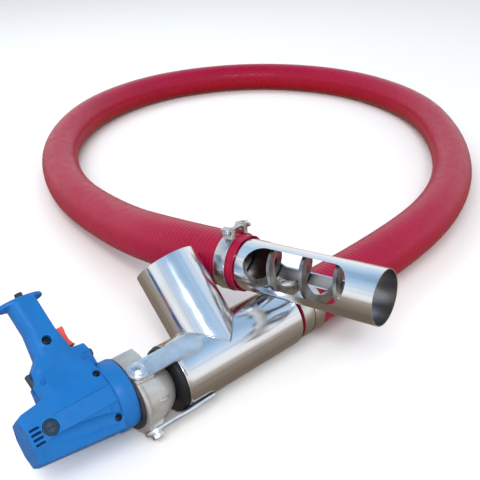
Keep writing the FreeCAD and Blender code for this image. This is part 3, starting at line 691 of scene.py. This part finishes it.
def drill_shells():
    """Both mouldings in one: barrel, grip and cheeks, then all that is cut into them."""
    body = loft([barrel_section(x) for x in (-268.0, BARREL_REAR, -230.0, -198.0, BARREL_FRONT)])
    combine(body, [handle_solid()])
    cheeks = []
    for side in (-1, 1):
        rows = []
        for x, share, top in ((-235.0, 0.55, 66.0), (-222.0, 1.0, 76.0), (BARREL_FRONT, 1.0, 76.0)):
            low = MOTOR_Z + 10.4
            rows.append([(x, side * share * facet_depth(x, MOTOR_Z), low), (x, side * 16.9 * share, top),
                         (x, 0, top), (x, 0, low)])
        cheeks.append(loft(rows))
    combine(body, cheeks)
    combine(body, both_sides(lambda s: [peg(11.5, BRUSH_X, MOTOR_Z, s * 25.0, s * 35.6)]))
    combine(body, both_sides(lambda s: [peg(7.6, *GRIP_SCREW, s * 12.0, s * 18.0)]))
    # what is cut away: bearing collar, trigger slot, rocker window, caps, screws, vents
    cuts = [
        rod(44.2, BARREL_FRONT, -140.0, 0, MOTOR_Z, 96),
        block(-190.0, -150.0, -8.4, 8.4, 90.9, 119.2),
        block(-245.0, -222.0, -6.3, 6.3, 58.5, 83.5),
        post(5.0, -202.0, 0, 160.0, 185.0),
        rod(3.4, -172.0, -150.0, 0, LOCK_Z, 24),
        rod(6.2, -163.0, -150.0, 0, LOCK_Z, 32),
    ]
    combine(body, cuts, "DIFFERENCE")
    combine(body, both_sides(lambda s: [peg(9.5, BRUSH_X, MOTOR_Z, s * 28.2, s * 45.0)]), "DIFFERENCE")
    for x, z, depth, seat in SCREW_PLACES:
        seats = [peg(seat, x, z, s * (depth - 4.2), s * (depth + 14.0), 32) for s in (-1, 1)]
        combine(body, seats, "DIFFERENCE")
    vents = both_sides(lambda s: [
        block(-265.0, -253.8, s * 22.0, s * 40.0, z - 1.3, z + 1.3) for z in (21.6, 15.9, 10.2, 4.5)])
    combine(body, vents, "DIFFERENCE")
    notches = both_sides(lambda s: [
        turned(block(-232.5, -222.5, s * 14.6, s * 30.0, 62.5, 76.5), -s * 14.0, "Z", (-222.5, s * 14.6, 0)),
        turned(block(-174.0, -161.5, s * 14.6, s * 30.0, 66.5, 76.0), -s * 12.0, "Z", (-161.5, s * 14.6, 0))])
    combine(body, notches, "DIFFERENCE")
    moulded(body, 3)
    # a hollow sweeps back from the lower screw along the lower side
    combine(body, both_sides(lambda s: [
        turned(ball((56.0, 12.0, 12.5), (-206.0, s * 37.0, -9.5)), 9.0, "Y", (-206.0, s * 37.0, -9.5))
    ]), "DIFFERENCE")
    slots = both_sides(lambda s: [
        block(-274.0, -263.0, s * y, s * (y + 2.2), z - 3.0, z + 3.0)
        for z in (30.0, -2.0) for y in (15.0, 19.5)])
    combine(body, panel_grooves() + [joined(slots)], "DIFFERENCE")
    return body


def panel_grooves():
    """Thin tools along both edges of the flat side band and down its front end."""
    tools = []
    for side in (-1, 1):
        for x0, x1, z, width in ((-236.0, -166.0, 25.9, 0.45), (-240.0, -166.0, 4.2, 0.6)):
            near, far = facet_depth(x0, MOTOR_Z), facet_depth(x1, MOTOR_Z)
            tools.append(loft([
                [(x, side * (y - 1.1), z - width), (x, side * (y + 3.0), z - width),
                 (x, side * (y + 3.0), z + width), (x, side * (y - 1.1), z + width)]
                for x, y in ((x0, near), (x1, far))]))
        tools.append(loft([
            [(-176.6, side * (y - 1.0), z), (-176.6, side * (y + 3.0), z),
             (-175.7, side * (y + 3.0), z), (-175.7, side * (y - 1.0), z)]
            for y, z in ((facet_depth(-176.0, -19.0), -19.0), (facet_depth(-176.0, 4.0), 4.0))]))
    return tools


class AUGER_OT_drill_shells(bpy.types.Operator):
    """The drill's two mouldings: barrel, grip, end flange, vents, bosses and screw seats"""
    bl_idname = "auger.drill_shells"
    bl_label = "Drill shells"

    def execute(self, context):
        drill = context.scene.auger_drill
        blue = moulded_plastic("drill_blue", tuple(drill.shell_colour))
        place_piece(drill_shells(), "drill_mouldings", HEAD, "head", blue,
                    ("drill_shell_near", "drill_shell_far"), 50.0)
        collar = lathe([
            (-165.0, 38.0), (-165.0, 42.6), (-164.4, 43.4), (-162.0, 43.7), (-161.6, 44.0), (-144.6, 44.0),
            (-143.6, 43.7), (-143.0, 43.0), (-143.0, 38.0), (-165.0, 38.0)], 128)
        shifted(collar, z=MOTOR_Z)
        combine(collar, [block(-148.0, -142.0, -4.0, 4.0, -32.0, -26.5)], "DIFFERENCE")
        place_piece(collar, "drill_collar", HEAD, "head", blue, ("front_collar",))
        return {"FINISHED"}


def trigger_shape():
    """The trigger, hollowed in front for a finger."""
    face = [(-170.6, 118.6), (-170.4, 113.0), (-171.2, 107.6), (-170.6, 100.0), (-168.6, 94.9), (-166.5, 91.8)]
    outline = [(-181.5, 118.0)] + face + [(-176.0, 91.5), (-182.5, 91.5)]
    levels = [(-8.0, 1.6), (-7.4, 0.6), (-6.0, 0.0), (6.0, 0.0), (7.4, 0.6), (8.0, 1.6)]
    return loft([[(x, y, z) for x, z in inset_outline(outline, depth)] for y, depth in levels])


def cap_shape(side):
    """A round brush cap with a ring and a coin slot in its face."""
    cap = lathe([(28.5, 0.0), (28.5, 9.2), (33.2, 9.2), (33.9, 8.6), (34.0, 7.4), (33.5, 7.1), (33.5, 6.6),
                 (34.0, 6.3), (34.1, 0.0)], 64)
    shifted(turned(cap, 90.0 * side, "Z"), BRUSH_X, 0, MOTOR_Z)
    slot = block(BRUSH_X - 4.4, BRUSH_X + 4.4, side * 33.5, side * 36.0, MOTOR_Z - 0.8, MOTOR_Z + 0.8)
    return combine(cap, [slot], "DIFFERENCE")


def shell_screw(x, z, depth, seat, side):
    """A pan-head cross screw, sunk in its seat."""
    r = seat - 0.7
    head = lathe([(0.0, 0.0), (0.0, r), (1.0, r), (1.8, r - 0.8), (2.2, r - 2.0), (2.3, 0.0)], 40)
    shifted(turned(head, 90.0 * side, "Z"), x, side * (depth - 4.0), z)
    y0, y1 = side * (depth - 2.9), side * (depth + 2.0)
    return combine(head, [block(x - 2.6, x + 2.6, y0, y1, z - 0.5, z + 0.5),
                          block(x - 0.5, x + 0.5, y0, y1, z - 2.6, z + 2.6)], "DIFFERENCE")


class AUGER_OT_drill_controls(bpy.types.Operator):
    """Trigger, brush caps, screws, rocker, lock button and cable inlet"""
    bl_idname = "auger.drill_controls"
    bl_label = "Drill controls"

    def execute(self, context):
        drill = context.scene.auger_drill
        red = moulded_plastic("trigger_red", tuple(drill.trigger_colour), 0.32, 0.2)
        slate = moulded_plastic("cap_slate", tuple(drill.cap_colour), 0.36, 0.5)
        place_piece(trigger_shape(), "trigger_pad", HEAD, "trigger", red, ("trigger",))
        place_piece(joined([cap_shape(s) for s in (-1, 1)]), "brush_cap_pair", HEAD, "head", slate,
                    ("brush_caps",))
        screws = [shell_screw(*place, s) for place in SCREW_PLACES for s in (-1, 1)]
        black = strip_steel("blackened_steel", (0.035, 0.035, 0.042), 0.40)
        place_piece(joined(screws), "shell_screw_heads", HEAD, "head", black, ("shell_screws",))
        place_piece(refined("reverse_rocker", 0.5), "rocker_pad", IN_PLACE, "reverse_rocker", slate,
                    ("reverse_rocker",))
        knob = lathe([(-168.0, 0.0), (-168.0, 3.2), (-155.0, 3.2), (-155.0, 5.4), (-152.6, 5.4),
                      (-151.4, 4.6), (-151.0, 3.0), (-150.9, 0.0)], 40)
        dark = moulded_plastic("knob_black", (0.010, 0.012, 0.022))
        place_piece(shifted(knob, z=LOCK_Z), "lock_pad", HEAD, "lock_button", dark,
                    ("lock_button",))
        place_piece(refined("cord_inlet", 0.4), "inlet_collar", IN_PLACE, "head",
                    rubber("inlet_rubber"), ("cord_inlet",))
        return {"FINISHED"}


def wedge_block(x0, x1, half, z0, z1, tip_x0, tip_x1, tip_half):
    """An upright block that narrows to a tip at its outer end."""
    return loft([
        [(x0, -half, z0), (x1, -half, z0), (x1, half, z0), (x0, half, z0)],
        [(tip_x0, -tip_half, z1), (tip_x1, -tip_half, z1), (tip_x1, tip_half, z1), (tip_x0, tip_half, z1)],
    ])


def gearbox_shape():
    """The gearbox casting: a drum with flats for the straps, a webbed foot and a domed neck."""
    drum = lathe([
        (-141.0, 0.0), (-141.0, 43.6), (-134.0, 43.6), (-133.0, 43.2), (-132.4, 41.6), (-122.0, 41.2), (-114.0, 40.0),
        (-107.0, 37.8), (-100.0, 34.6), (-94.0, 31.2), (-90.0, 28.0), (-88.0, 25.0), (-87.2, 22.0),
        (-62.0, 22.0), (-62.0, 16.2), (-76.0, 16.2), (-76.0, 0.0)], 96)
    crown = rod(43.6, -141.0, -134.0, 0, MOTOR_Z, 96)
    roof = wedge_block(-141.0, -106.0, 30.0, 20.0, 54.0, -141.0, -112.0, 25.0)
    combine(drum, [crown, roof])
    ears = [turned(block(-141.0, -113.5, -14.0, 14.0, 18.0, 44.5), angle - 90.0) for angle in UPPER_STRAPS]
    combine(drum, ears)
    cuts = [block(-142.0, -104.0, -60.0, 60.0, 54.0, 80.0)]
    cuts += [turned(block(-142.0, -96.0, -60.0, 60.0, 44.5, 90.0), angle - 90.0) for angle in UPPER_STRAPS]
    combine(drum, cuts, "DIFFERENCE")
    foot = wedge_block(-141.0, -103.0, 17.0, 20.0, 44.5, -137.0, -119.0, 12.5)
    combine(drum, [turned(foot, 180.0)])
    slots = [shifted(wedge_block(-136.0, -98.0, 2.4, 27.0, 43.4, -131.0, -112.0, 1.5), 6.0, y) for y in (-5.6, 5.6)]
    combine(drum, [turned(each, 180.0) for each in slots], "DIFFERENCE")
    combine(drum, [turned(wedge_block(-118.0, -92.0, 2.2, 24.0, 43.0, -118.0, -110.0, 1.6), angle)
                   for angle in (8.0, -8.0, 120.0, -120.0)])
    # the open joint towards the drill's collar, all round but for the top
    joint = rod(70.0, -141.5, -138.6, 0, MOTOR_Z, 96)
    combine(joint, [
        rod(40.0, -143.0, -137.0, 0, MOTOR_Z, 96), block(-143.0, -137.0, -27.0, 27.0, 36.0, 90.0)], "DIFFERENCE")
    combine(drum, [joint], "DIFFERENCE")
    holes = [turned(post(4.0, STRAP_BOLT_X, 0, 42.0, 46.0), angle - 90.0) for angle in STRAPS.values()]
    combine(drum, holes, "DIFFERENCE")
    return moulded(drum, 4)


class AUGER_OT_gearbox(bpy.types.Operator):
    """The gearbox casting with its flange, webs and neck, and the black plug in the tee"""
    bl_idname = "auger.gearbox"
    bl_label = "Gearbox"

    def execute(self, context):
        casting = cast_metal("gearbox_casting", tuple(context.scene.auger_drill.casting_colour))
        place_piece(gearbox_shape(), "gearbox_casting", HEAD, "head", casting,
                    ("gearbox_case",), 50.0)
        seal = lathe([(-142.6, 36.0), (-142.6, 42.4), (-138.9, 42.4), (-138.9, 36.0), (-142.6, 36.0)], 96)
        shifted(seal, z=MOTOR_Z * 0.45)
        combine(seal, [block(-143.5, -138.0, -27.0, 27.0, 36.0, 90.0)], "DIFFERENCE")
        place_piece(seal, "joint_seal", HEAD, "head", rubber("seal_black"))
        plug = lathe([
            (-86.0, 22.3), (-86.0, 39.0), (-85.6, 41.2), (-84.6, 42.6), (-83.0, 43.4), (-80.8, 43.7), (-71.4, 43.7),
            (-71.0, 43.3), (-71.0, 42.7), (-53.5, 42.7), (-53.0, 42.2), (-53.0, 22.3), (-86.0, 22.3)], 128)
        black = Finish("plug_black", (0.012, 0.013, 0.016), 0.28)
        black.set(Coat_Weight=0.10, Coat_Roughness=0.2, Specular_IOR_Level=0.25)
        black.colour(black.pattern(scale=90.0), (0.006, 0.007, 0.009), (0.014, 0.014, 0.016))
        black.rough(black.pattern(scale=60.0), 0.30, 0.50)
        black.bump(black.pattern(scale=1200.0, stretch=(1, 0.05, 0.05)), 0.08, 0.0002)
        place_piece(plug, "end_plug_turned", HEAD, "head", black.material, ("end_plug",))
        rim = lathe([
            (-71.1, 43.8), (-78.2, 43.8), (-78.6, 44.1), (-78.6, 44.6), (-78.2, 44.9), (-77.4, 44.9), (-77.0, 44.6),
            (-71.1, 44.6), (-71.1, 43.8)], 128)
        place_piece(rim, "tee_rim", HEAD, "head", strip_steel("rim_steel", (0.78, 0.78, 0.78), 0.18))
        return {"FINISHED"}


# ---------------------------------------------------------------- tee, straps and bolts
def saddle_points(radius, count=64):
    """Where the branch meets the main tube, both of the same radius."""
    points = []
    for k in range(count):
        angle = 2 * math.pi * k / count
        x, y = radius * math.cos(angle), radius * math.sin(angle)
        points.append(HEAD @ Vector((x, y, abs(x) + 0.4)))
    return points


def strap_shape():
    """A strap with round ends, welded to the tee at one end; its middle is lifted off a straight line."""
    half = 13.4
    stations = (-100.0, -86.0, -74.0, -62.0, -52.0)

    def round_end(x, start):
        angles = [math.radians(start + 15 * k) for k in range(13)]
        return [(x + half * math.cos(a), half * math.sin(a)) for a in angles]

    outline = round_end(STRAP_BOLT_X, 90) + [(x, -half) for x in stations]
    outline += round_end(-46.0, -90) + [(x, half) for x in reversed(stations)]
    strap = loft([[(x, y, z) for x, y in outline] for z in (44.6, 47.6)])
    edit(strap)
    for x, lift in ((-100.0, 0.0), (-86.0, 0.9), (-74.0, 1.0), (-62.0, 0.4)):
        pick(lambda co: abs(co.x - x) < 0.1)
        bpy.ops.transform.translate(value=(0, 0, lift))
    done()
    combine(strap, [post(4.3, STRAP_BOLT_X, 0, 40.0, 50.0, 32)], "DIFFERENCE")
    return softened(strap, 0.7, 3, 50.0)


def washer_shape():
    """A wide flat washer and the spring washer on it."""
    flat = lathe([(0.0, 4.3), (0.0, 11.3), (0.3, 11.7), (1.3, 11.7), (1.7, 11.3), (1.7, 4.3), (0.0, 4.3)], 64)
    spring = lathe([(1.7, 4.4), (1.7, 8.2), (2.0, 8.5), (3.2, 8.5), (3.5, 8.2), (3.5, 4.4), (1.7, 4.4)], 48)
    return shifted(upright(joined([flat, spring])), STRAP_BOLT_X, 0, 47.6)


class AUGER_OT_tee(bpy.types.Operator):
    """The polished tee with its weld, the three straps and their bolts and washers"""
    bl_idname = "auger.tee"
    bl_label = "Tee and straps"

    def execute(self, context):
        middle = (CENTRE + Vector((0, 0, AXIS_HEIGHT))) * MM
        along = polished_tube("polished_main_tube", middle, (0, 0, 0), 43.0)
        across = polished_tube("polished_branch", middle, BRANCH_TURN, 43.6)
        finish_node("tee_main_tube", along)
        finish_node("tee_branch", across)
        weld = bead("branch_weld", saddle_points(44.6), 0.0011)
        place_piece(weld, "branch_weld", IN_PLACE, "head", strip_steel("weld_steel", (0.62, 0.61, 0.60), 0.24))
        strip = strip_steel("strap_steel", (0.86, 0.88, 0.90), 0.40)
        zinc = strip_steel("zinc_hardware", (0.84, 0.85, 0.86), 0.36)
        washers, bolts = [], []
        for name, angle in STRAPS.items():
            strap = turned(strap_shape(), angle - 90.0)
            place_piece(strap, "strap_" + name, HEAD, "head", strip, ("mounting_strap_" + name,))
            washers.append(turned(washer_shape(), angle - 90.0))
            bolts.append(turned(hexagon_bolt(13.0, 5.0, 8.0, (STRAP_BOLT_X, 0, 51.1)), angle - 90.0))
        place_piece(joined(washers), "strap_washer_set", HEAD, "head", zinc, ("strap_washers",))
        place_piece(joined(bolts), "strap_bolt_set", HEAD, "head", zinc, ("strap_bolts",))
        return {"FINISHED"}


# ---------------------------------------------------------------- clamps
class AUGER_OT_clamps(bpy.types.Operator):
    """Three T-bolt clamps: band, stamped saddle, trunnions, threaded bolt and wing nut"""
    bl_idname = "auger.clamps"
    bl_label = "Clamps"

    def execute(self, context):
        steel = strip_steel("clamp_steel", (0.66, 0.65, 0.62), 0.24)
        for name, frame_place, x, angle, nut_body in CLAMP_PLACES:
            place = frame_place @ Matrix.Translation((x, 0, 0)) @ Matrix.Rotation(math.radians(angle - 90.0), 4, "X")
            band = refined(name + "_band", 0.25, 2)
            place_piece(band, name + "_strap", IN_PLACE, "head", steel, (name + "_band",))
            lip = joined([
                lathe([(s * 8.6 - 0.7, 41.9), (s * 8.6 - 0.4, 42.35), (s * 8.6 + 0.4, 42.35), (s * 8.6 + 0.7, 41.9),
                       (s * 8.6 - 0.7, 41.9)], 96) for s in (-1, 1)])
            combine(lip, [block(-12.0, 12.0, -26.0, 26.0, 20.0, 60.0)], "DIFFERENCE")
            dimples = []
            for side in (-1, 1):
                for across in (-4.0, 4.0):
                    dimple = ball((1.7, 1.7, 0.8), (across, 0, 43.2), 16, 8)
                    dimples.append(turned(dimple, side * 38.0))
            place_piece(joined([lip] + dimples), name + "_edges", place, "head", steel)
            thread = [(-24.0, 0.0), (-24.0, 2.9), (8.0, 2.9)]
            for k in range(21):
                thread += [(8.2 + k * 1.0, 2.45), (8.7 + k * 1.0, 2.95)]
            thread += [(30.0, 2.4), (30.0, 0.0)]
            bolt = turned(lathe(thread, 32), 90.0, "Z")
            combine(bolt, [softened(block(-7.0, 7.0, -24.0, -19.0, -4.5, 4.5), 0.8)])
            shifted(bolt, z=CLAMP_BOLT_Z)
            place_piece(bolt, name + "_t_bolt", place, "head", steel, (name + "_bolt",))
            place_piece(wing_nut(), name + "_wings", place, nut_body, steel, (name + "_wing_nut",))
        return {"FINISHED"}


def wing_nut():
    """A coned hub with two flat wings."""
    hub = lathe([(18.8, 3.1), (18.8, 5.5), (19.6, 5.6), (24.6, 4.9), (25.6, 4.4), (25.8, 3.1), (18.8, 3.1)], 40)
    turned(hub, 90.0, "Z")
    wings = []
    for side in (-1, 1):
        outline = [(side * 3.2, -3.0), (side * 7.0, -3.4), (side * 10.2, -2.2), (side * 11.0, 0.0),
                   (side * 10.2, 2.2), (side * 7.0, 3.4), (side * 3.2, 3.0)]
        if side > 0:
            outline.reverse()
        wings.append(softened(plate(outline, 20.3, 23.8), 0.9, 3, 40.0))
    return shifted(combine(hub, wings), z=CLAMP_BOLT_Z)


# ---------------------------------------------------------------- intake and spiral
def spiral_steel():
    made = Finish("spiral_steel", (0.34, 0.33, 0.32), 0.36, 1.0)
    stain = made.pattern(scale=55.0, detail=6.0)
    made.colour(made.ramp(stain, 0.38, 0.68), (0.44, 0.43, 0.42), (0.17, 0.15, 0.14))
    made.rough(made.pattern(scale=140.0, detail=4.0), 0.26, 0.50)
    made.bump(made.pattern(scale=420.0, detail=4.0), 0.25, 0.0004)
    return made.material


class AUGER_OT_intake(bpy.types.Operator):
    """The windowed intake tube and the spiral's visible stretches"""
    bl_idname = "auger.intake"
    bl_label = "Intake and spiral"

    def execute(self, context):
        finish_node("intake_tube", polished_tube("polished_intake", LIP * MM, (0, INTAKE_TILT, INTAKE_HEADING), 35.5))
        worn = spiral_steel()
        for node, body in (("auger_intake_section", "intake_auger"), ("auger_drive_section", "drive_auger")):
            finish_node(node, worn)
        return {"FINISHED"}


# ---------------------------------------------------------------- hose
def hose_route():
    """The hose's line as a smooth spline, and points read from it."""
    lip_run = LIP - INTAKE_WAY * 135.0
    stops = [HOSE_EXIT] + [CENTRE + Vector(p) for p in HOSE_POINTS] + [lip_run, LIP]
    line = bpy.data.curves.new("hose_route", "CURVE")
    line.dimensions = "3D"
    spline = line.splines.new("NURBS")
    spline.points.add(len(stops) - 1)
    for point, stop in zip(spline.points, stops):
        point.co = (*(stop * MM), 1.0)
    spline.order_u = 3
    spline.use_endpoint_u = True
    spline.resolution_u = 48
    carrier = bpy.data.objects.new("hose_route", line)
    bpy.context.collection.objects.link(carrier)
    bpy.context.view_layer.update()
    traced = bpy.data.meshes.new_from_object(carrier)
    points = [v.co.copy() for v in traced.vertices]
    bpy.data.objects.remove(carrier, do_unlink=True)
    bpy.data.meshes.remove(traced)
    return points


def evenly(points, step):
    """Places a step apart along a line of points, with the line's ends kept."""
    lengths = [(b - a).length for a, b in zip(points, points[1:])]
    count = max(2, round(sum(lengths) / step))
    step = sum(lengths) / count
    places, k, done_length = [points[0].copy()], 0, 0.0
    for n in range(1, count):
        while done_length + lengths[k] < n * step:
            done_length += lengths[k]
            k += 1
        places.append(points[k].lerp(points[k + 1], (n * step - done_length) / lengths[k]))
    return places + [points[-1].copy()]


def tube_mesh(name, places, radii, sides, ends):
    """A closed tube wall: outer rows along the places, and at each end rows that turn into the bore."""
    mesh = bmesh.new()
    rows = []
    way = (places[1] - places[0]).normalized()
    out = way.orthogonal().normalized()
    frames = []
    for k, place in enumerate(places):
        ahead = places[min(k + 1, len(places) - 1)] - places[max(k - 1, 0)]
        way = ahead.normalized()
        out = (out - way * out.dot(way)).normalized()
        frames.append((place, out.copy(), way.cross(out), way))
    order = [(0, back, r) for back, r in reversed(ends[0])]
    order += [(k, 0.0, r) for k, r in enumerate(radii)]
    order += [(len(places) - 1, -back, r) for back, r in ends[1]]
    for k, shift, radius in order:
        place, side, up, way = frames[k]
        row = []
        for n in range(sides):
            angle = 2 * math.pi * n / sides
            r = radius(angle) if callable(radius) else radius
            row.append(mesh.verts.new(place + way * shift + (side * math.cos(angle) + up * math.sin(angle)) * r))
        rows.append(row)
    for low, high in zip(rows, rows[1:]):
        for n in range(sides):
            m = (n + 1) % sides
            mesh.faces.new((low[n], low[m], high[m], high[n]))
    for row, turn in ((rows[0], True), (rows[-1], False)):
        mesh.faces.new(list(reversed(row)) if turn else row)
    bmesh.ops.recalc_face_normals(mesh, faces=mesh.faces)
    data = bpy.data.meshes.new(name)
    mesh.to_mesh(data)
    mesh.free()
    obj = bpy.data.objects.new(name, data)
    bpy.context.collection.objects.link(obj)
    return obj


class AUGER_OT_hose(bpy.types.Operator):
    """The ribbed hose in its loop, from the tee's spigot to the rough-cut lip on the intake tube"""
    bl_idname = "auger.hose"
    bl_label = "Hose"

    def execute(self, context):
        hose = context.scene.auger_hose
        step = hose.rib_pitch / 4
        places = evenly(hose_route(), step)
        outer = hose.diameter / 2
        swing = (0.0, -0.5, -1.0, -0.5)
        radii = []
        for k in range(len(places)):
            left = (len(places) - 1 - k) * step
            r = outer + swing[k % 4] * hose.rib_height
            if left < 0.011:
                rough = 0.0011 * (1 - left / 0.011)
                radii.append(lambda a, k=k, r=r, rough=rough: r - rough * (
                    0.5 + 0.28 * math.sin(5 * a + 1.3 * k) + 0.22 * math.sin(13 * a + 2.1 * k)))
            else:
                radii.append(r)
        bore = 0.0373
        start_rows = [(0.0, bore + 0.0006), (0.020, bore)]
        end_rows = [(0.0, lambda a: bore + 0.0010 + 0.0006 * math.sin(7 * a)), (0.025, bore)]
        tube = tube_mesh("suction_hose", places, radii, 40, (start_rows, end_rows))
        place_piece(tube, "suction_hose", IN_PLACE, "head", hose_plastic(),
                    ("hose", "auger_hose_section"), 80.0)
        return {"FINISHED"}


# ---------------------------------------------------------------- what lies inside the drill
class AUGER_OT_inside(bpy.types.Operator):
    """Finishes of the motor, the gears and the coupling inside the head"""
    bl_idname = "auger.inside"
    bl_label = "Inside parts"

    def execute(self, context):
        ground = strip_steel("ground_steel", (0.52, 0.52, 0.53), 0.22)
        iron = strip_steel("lamination_iron", (0.16, 0.16, 0.17), 0.5)
        copper = strip_steel("enamelled_copper", (0.52, 0.22, 0.09), 0.35)
        brass = strip_steel("stamped_brass", (0.62, 0.46, 0.18), 0.3)
        machined = strip_steel("machined_plate", (0.58, 0.58, 0.58), 0.35)
        black = rubber("black_fittings")
        for node in ("coupling_pin", "drill_spindle", "spindle_gear", "layshaft", "first_reduction_gear",
                     "armature_shaft", "spindle_bearings", "armature_bearings"):
            finish_node(node, ground)
        for node in ("stator_core", "armature_core"):
            finish_node(node, iron)
        for node in ("field_coils", "commutator"):
            finish_node(node, copper)
        for node in ("layshaft_bushes", "brush_holders"):
            finish_node(node, brass)
        for node in ("carbon_brushes", "cooling_fan", "trigger_switch", "motor_gasket"):
            finish_node(node, black)
        finish_node("gear_plate", machined)
        return {"FINISHED"}


# ---------------------------------------------------------------- stage
# what polished steel mirrors, from straight below (0) over the skyline (0.5) to straight above (1)
SKY = (
    (0.00, (0.16, 0.12, 0.09)), (0.30, (0.30, 0.25, 0.20)), (0.46, (0.50, 0.45, 0.40)), (0.50, (0.90, 0.89, 0.87)),
    (0.58, (1.05, 1.05, 1.05)), (0.72, (0.90, 0.97, 1.05)), (0.86, (0.55, 0.75, 0.98)), (0.93, (0.36, 0.56, 0.80)),
    (0.972, (0.10, 0.20, 0.38)), (0.999, (0.05, 0.11, 0.23)),
)


def soft_light(name, place, target, size, power, colour=(1, 1, 1), mirrored=False):
    lamp = bpy.data.lights.new(name, "AREA")
    lamp.shape = "RECTANGLE"
    lamp.size, lamp.size_y = size
    lamp.energy = power * bpy.context.scene.auger_stage.light
    lamp.color = colour
    obj = bpy.data.objects.new(name, lamp)
    bpy.context.collection.objects.link(obj)
    obj.location = place
    obj.rotation_euler = (Vector(target) - Vector(place)).to_track_quat("-Z", "Y").to_euler()
    obj.visible_glossy = mirrored
    return obj


def studio_sky():
    """Soft light from all round; polished steel sees a blue upper sky, a white skyline and warm ground."""
    world = bpy.data.worlds.new("studio")
    world.use_nodes = True
    nodes, links = world.node_tree.nodes, world.node_tree.links
    fill = nodes["Background"]
    fill.inputs["Color"].default_value = (0.93, 0.96, 1.0, 1.0)
    fill.inputs["Strength"].default_value = 0.78
    seen = nodes.new("ShaderNodeBackground")
    seen.inputs["Strength"].default_value = 1.0
    place = nodes.new("ShaderNodeTexCoord")
    split = nodes.new("ShaderNodeSeparateXYZ")
    links.new(place.outputs["Generated"], split.inputs[0])
    band = nodes.new("ShaderNodeMapRange")
    band.inputs["From Min"].default_value = -1.0
    links.new(split.outputs["Z"], band.inputs["Value"])
    ramp = nodes.new("ShaderNodeValToRGB")
    ramp.color_ramp.elements.remove(ramp.color_ramp.elements[0])
    for position, colour in SKY:
        stop = ramp.color_ramp.elements.new(position)
        stop.color = (*colour, 1.0)
    ramp.color_ramp.elements.remove(ramp.color_ramp.elements[-1])
    links.new(band.outputs["Result"], ramp.inputs["Fac"])
    links.new(ramp.outputs["Color"], seen.inputs["Color"])
    path = nodes.new("ShaderNodeLightPath")
    mix = nodes.new("ShaderNodeMixShader")
    links.new(path.outputs["Is Glossy Ray"], mix.inputs["Fac"])
    links.new(fill.outputs[0], mix.inputs[1])
    links.new(seen.outputs[0], mix.inputs[2])
    links.new(mix.outputs[0], nodes["World Output"].inputs["Surface"])
    return world


class AUGER_OT_stage(bpy.types.Operator):
    """Pale floor, soft studio light and the camera"""
    bl_idname = "auger.stage"
    bl_label = "Stage"

    def execute(self, context):
        deselect()
        bpy.ops.mesh.primitive_plane_add(size=40.0, location=(0.5, 0.5, -0.0004))
        floor = context.object
        floor.name = "studio_floor"
        pale = Finish("studio_floor", (0.90, 0.90, 0.90), 0.85)
        pale.rough(pale.pattern(scale=6.0), 0.80, 0.90)
        pale.set(Specular_IOR_Level=0.1)
        floor.data.materials.append(pale.material)
        floor.visible_glossy = False
        context.scene.world = studio_sky()
        context.scene.view_settings.view_transform = "Standard"
        soft_light("key", (-1.5, -0.9, 2.6), (0.3, 0.3, 0.0), (1.8, 1.8), 46.0, (1.0, 0.97, 0.93))
        soft_light("sky", (0.9, 2.2, 2.4), (0.3, 0.3, 0.0), (2.6, 1.2), 24.0, (0.86, 0.93, 1.0))
        soft_light("glint", (-0.9, -1.6, 1.9), (0.2, 0.2, 0.0), (0.35, 0.35), 16.0, mirrored=True)
        pitch, roll = CAMERA_PITCH, CAMERA_ROLL
        forward = CAMERA_HEADING.normalized() * math.cos(pitch) - Vector((0, 0, math.sin(pitch)))
        level = forward.cross(Vector((0, 0, 1))).normalized()
        down = forward.cross(level)
        right = level * math.cos(roll) + down * math.sin(roll)
        up = -(down * math.cos(roll) - level * math.sin(roll))
        lens = bpy.data.cameras.new("camera")
        lens.lens = CAMERA_LENS
        lens.sensor_width = CAMERA_SENSOR
        camera = bpy.data.objects.new("camera", lens)
        context.collection.objects.link(camera)
        turn = Matrix((right, up, -forward)).transposed().to_4x4()
        camera.matrix_world = Matrix.Translation((CENTRE + CAMERA_PLACE) * MM) @ turn
        context.scene.camera = camera
        return {"FINISHED"}


class AUGER_PT_panel(bpy.types.Panel):
    bl_idname = "AUGER_PT_panel"
    bl_label = "Grain auger"
    bl_space_type = "VIEW_3D"
    bl_region_type = "UI"
    bl_category = "Grain auger"

    def draw(self, context):
        for step in STEPS:
            self.layout.operator("auger." + step)
        for group in SETTINGS:
            settings = getattr(context.scene, group)
            box = self.layout.box()
            for key in settings.__annotations__:
                box.prop(settings, key)


STEPS = ("stage", "hose", "tee", "clamps", "intake", "gearbox", "drill_shells", "drill_controls", "inside")
SETTINGS = {
    "auger_hose": AugerHoseSettings, "auger_drill": AugerDrillSettings, "auger_steel": AugerSteelSettings,
    "auger_stage": AugerStageSettings,
}
OPERATORS = (
    AUGER_OT_stage, AUGER_OT_hose, AUGER_OT_tee, AUGER_OT_clamps, AUGER_OT_intake, AUGER_OT_gearbox,
    AUGER_OT_drill_shells, AUGER_OT_drill_controls, AUGER_OT_inside,
)
CLASSES = (*SETTINGS.values(), *OPERATORS, AUGER_PT_panel)


def register():
    for each in CLASSES:
        bpy.utils.register_class(each)
    for name, group in SETTINGS.items():
        setattr(bpy.types.Scene, name, PointerProperty(type=group))


def unregister():
    for name in SETTINGS:
        delattr(bpy.types.Scene, name)
    for each in reversed(CLASSES):
        bpy.utils.unregister_class(each)


def main():
    register()
    for step in STEPS:
        getattr(bpy.ops.auger, step)()
    deselect()


if __name__ == "__main__":
    main()
